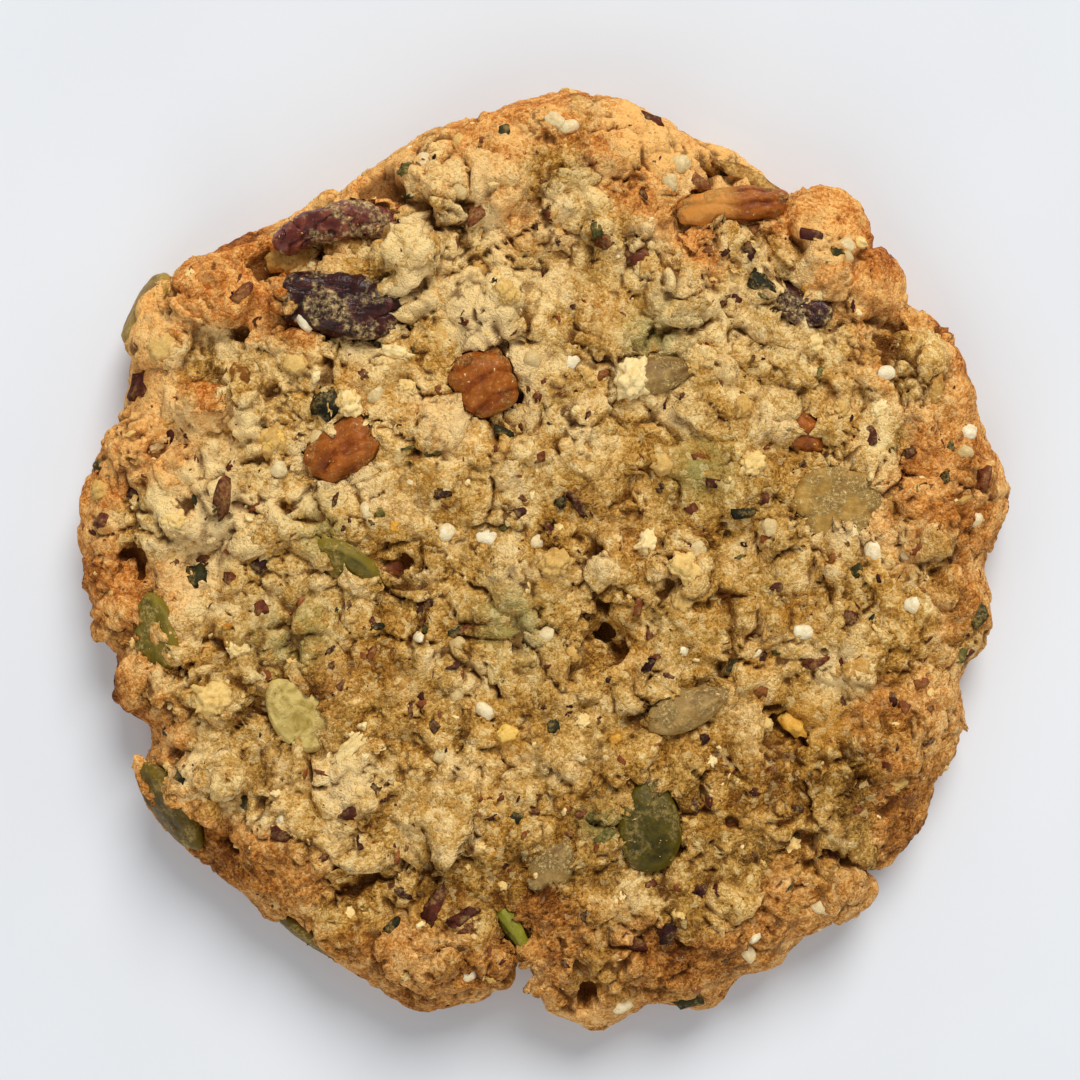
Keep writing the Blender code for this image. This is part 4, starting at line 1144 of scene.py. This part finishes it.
def bit_finishes():
    """The finishes of the bits that aren't dough: their darkest, middle and palest colours, then how rough,
    glossy and glowing they are and how much crumb lies on them."""
    kinds = {
        "creamy": ("pale_crumb", (0.1, 0.5, 0.95), ((206, 160, 84), (240, 202, 124), (255, 232, 172)),
                   (0.8, 0.12, 0, 0.35)),
        "hulled": ("hulled_grain", (0.1, 0.5, 0.9), ((206, 176, 116), (234, 211, 160), (248, 234, 198)),
                   (0.4, 0.3, 0.13, 0.6)),
        "red": ("red_brown_fleck", (0.1, 0.5, 0.9), ((44, 18, 14), (92, 42, 26), (140, 76, 34)),
                (0.6, 0.15, 0, 0.3)),
        "dark": ("dark_green_fleck", (0.1, 0.6, 0.9), ((30, 28, 14), (54, 52, 24), (98, 92, 38)),
                 (0.6, 0.15, 0, 0.35)),
        "nut": ("broken_nut", (0.1, 0.5, 0.9), ((128, 76, 24), (190, 138, 64), (232, 192, 114)),
                (0.7, 0.15, 0, 0.85)),
        "apricot": ("dried_apricot", (0.1, 0.5, 0.9), ((176, 108, 22), (222, 160, 52), (246, 204, 104)),
                    (0.5, 0.25, 0, 0.4)),
    }
    return {
        name: bits_finish(title, [(at, srgb(*colour)) for at, colour in zip(stops, colours)], *settings)
        for name, (title, stops, colours, settings) in kinds.items()
    }


def crumb_rows():
    """The pale crumbs, each with a turn that its place gives."""
    return [(*row, (row[0] * 37 + row[1] * 17) % 180) for row in CREAM_CRUMBS]


def grain_rows():
    """The white grains, each with a length, width and turn that its place gives."""
    return [
        (x, y, 2 + 0.3 * math.sin(x), 1.65 + 0.25 * math.sin(y), (x * 41 + y * 23) % 180)
        for x, y in WHITE_GRAINS
    ]


def lay_all_bits(dough, set_pieces, baked):
    """Every kind of bit in turn: its named places, how many more, where, its shape, the range of its sizes,
    its thickness, how deep it sinks, its finish and its slot."""
    rng = np.random.default_rng(DRAW_SEED)
    ground = Ground(dough, set_pieces)
    height = ground.middles[:, 2]
    facing = smooth_step(ground.normals[:, 2], -0.2, 0.4)
    upper = smooth_step(height, 2.5, 6) * facing
    top = smooth_step(height, 6, 10) * smooth_step(ground.shares, 1.0, 0.86) * facing
    anywhere = (0.25 * upper + 0.75 * top) * np.where(ground.on_dough, 1, 0.5)
    dough_only = anywhere * ground.on_dough
    shapes = bit_shapes()
    finishes = bit_finishes()
    kinds = [
        ("crumbs_fine", [], 6000, anywhere, "pebble", (0.25, 0.65, 0.6, 1), 0.8, 0.3, baked, "dough"),
        ("crumbs_coarse", [], 420, dough_only, "lump", (0.8, 1.8, 0.6, 0.95), 0.7, 0.46, baked, "dough"),
        ("crumbs_cream", crumb_rows(), 0, dough_only, "broken", (1, 1, 1, 1), 0.7, 0.34,
         finishes["creamy"], "dough"),
        ("crumbs_pale", [], 260, dough_only, "crumbly", (0.6, 1.6, 0.6, 0.95), 0.7, 0.34,
         finishes["creamy"], "dough"),
        ("grains_white", grain_rows(), 10, dough_only, "grain", (1.3, 1.8, 0.68, 0.85), 0.7, 0.38,
         finishes["hulled"], "dough"),
        ("flecks_red", RED_FLECKS, 620, dough_only, "sliver", (0.4, 1.7, 0.35, 0.75), 0.5, 0.2,
         finishes["red"], "dried_fruit"),
        ("flecks_dark", DARK_FLECKS, 70, dough_only, "sliver", (0.4, 1.4, 0.45, 0.8), 0.5, 0.24,
         finishes["dark"], "pumpkin_seed"),
        ("bits_nut", NUT_BITS, 40, dough_only, "crumbly", (1.2, 2.4, 0.6, 0.9), 0.6, 0.5,
         finishes["nut"], "pecan"),
        ("bits_oat", OAT_BITS, 60, dough_only, "flake", (2.0, 3.8, 0.5, 0.75), 0.3, 0.45, baked, "oat_flake"),
        ("bits_apricot", APRICOT_BITS, 8, dough_only, "crumbly", (1, 1.8, 0.6, 0.9), 0.7, 0.4,
         finishes["apricot"], "dried_fruit"),
    ]
    for name, named, count, weights, shape, spread, thickness, sink, material, slot in kinds:
        kind = "dough" if material is baked else "own"
        bits = laid_bits(
            name, ground, rng, named, count, weights, shapes[shape], spread, thickness, sink, kind
        )
        wear(bits, material)


def make_set_pieces():
    """The seeds, nuts and fruit, each standing for its own node."""
    green = seed_skin_finish("pumpkin_seed_skin", srgb(42, 36, 0), srgb(92, 78, 6), 0.35)
    bright = seed_skin_finish("pumpkin_seed_bright", srgb(78, 78, 4), srgb(142, 138, 34), 0.25)
    olive = seed_skin_finish("pumpkin_seed_baked", srgb(76, 66, 10), srgb(136, 116, 34), 0.75)
    split = seed_skin_finish("pumpkin_seed_split", srgb(150, 122, 44), srgb(232, 206, 126), 0.7)
    sunned = seed_skin_finish("pumpkin_seed_rim", srgb(66, 50, 2), srgb(114, 90, 14), 0.6)
    amber = seed_skin_finish("pumpkin_seed_toasted", srgb(118, 78, 14), srgb(174, 142, 52), 0.7)
    grey = kernel_finish("sunflower_kernel", srgb(132, 96, 42), srgb(190, 154, 88), 0.8)
    dusky = kernel_finish("sunflower_kernel_baked", srgb(112, 80, 32), srgb(174, 138, 74), 0.9)
    flaked = kernel_finish("flaked_oat", srgb(138, 98, 32), srgb(198, 154, 74), 0.9)
    plum = fruit_finish("dried_plum", srgb(28, 7, 4), srgb(60, 20, 14), srgb(102, 44, 28), 0.95)
    red = fruit_finish("dried_red_fruit", srgb(60, 18, 12), srgb(110, 46, 32), srgb(152, 82, 54), 1)
    pecan = pecan_finish()
    skins = {
        "pepita_left": olive, "pepita_middle": olive, "pepita_split": split, "pepita_rim_back": amber,
        "pepita_rim_front": sunned, "pepita_rim_corner": sunned, "pepita_edge": bright,
    }
    made = []
    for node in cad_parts:
        kind = node.split("_")[0]
        if kind == "pepita":
            made.append(seed_piece(node, skins.get(node, green)))
        elif kind == "sunflower":
            made.append(kernel_piece(node, grey if node == "sunflower_right" else dusky))
        elif kind == "pecan":
            made.append(pecan_piece(node, pecan))
        elif kind == "fruit":
            made.append(fruit_piece(node, red if node == "fruit_fold" else plum))
        elif kind == "oat":
            made.append(oat_piece(node, flaked))
    return made


def make_floor():
    bm = bmesh.new()
    bmesh.ops.create_grid(bm, x_segments=2, y_segments=2, size=1.2)
    bmesh.ops.translate(bm, verts=bm.verts, vec=(0, 0, -FLOOR_GAP * MM))
    floor = object_from(bm, "floor")
    floor.data.materials.append(floor_finish())


def make_light(name, place, size, power, colour):
    """A round soft light that points at the cookie."""
    lamp = bpy.data.lights.new(name, "AREA")
    lamp.shape = "DISK"
    lamp.size = size
    lamp.energy = power
    lamp.color = colour
    obj = bpy.data.objects.new(name, lamp)
    obj.location = place
    obj.rotation_euler = (-Vector(place)).to_track_quat("-Z", "Y").to_euler()
    bpy.context.scene.collection.objects.link(obj)


def make_studio():
    """Soft daylight from the far right, a weak fill, and a pale surround."""
    make_light("window", place=(0.36, 1.2, 1.3), size=1.0, power=27.2, colour=(1, 0.985, 0.96))
    make_light("fill", place=(-0.3, -1, 0.8), size=1.1, power=4.4, colour=(1, 0.99, 0.97))
    world = bpy.data.worlds.new("surround")
    world.use_nodes = True
    sky = world.node_tree.nodes["Background"].inputs
    sky["Color"].default_value = (0.93, 0.96, 1, 1)
    sky["Strength"].default_value = 0.385
    bpy.context.scene.world = world
    bpy.context.scene.view_settings.view_transform = "Standard"


def make_camera():
    """Straight above, with the photographed frame at the level of the cookie's top."""
    data = bpy.data.cameras.new("camera")
    data.lens, data.sensor_width = LENS, SENSOR
    data.clip_start, data.clip_end = 0.01, 5
    camera = bpy.data.objects.new("camera", data)
    distance = VIEW_WIDTH * LENS / SENSOR
    camera.location = (CENTRE + Vector((*VIEW_MIDDLE, VIEW_LEVEL + distance))) * MM
    bpy.context.scene.collection.objects.link(camera)
    bpy.context.scene.camera = camera


make_camera()
make_studio()
make_floor()
set_pieces = make_set_pieces()
baked_dough = dough_finish()
dough = make_dough(set_pieces, baked_dough)
make_lumps(dough, set_pieces, baked_dough)
lay_all_bits(dough, set_pieces, baked_dough)
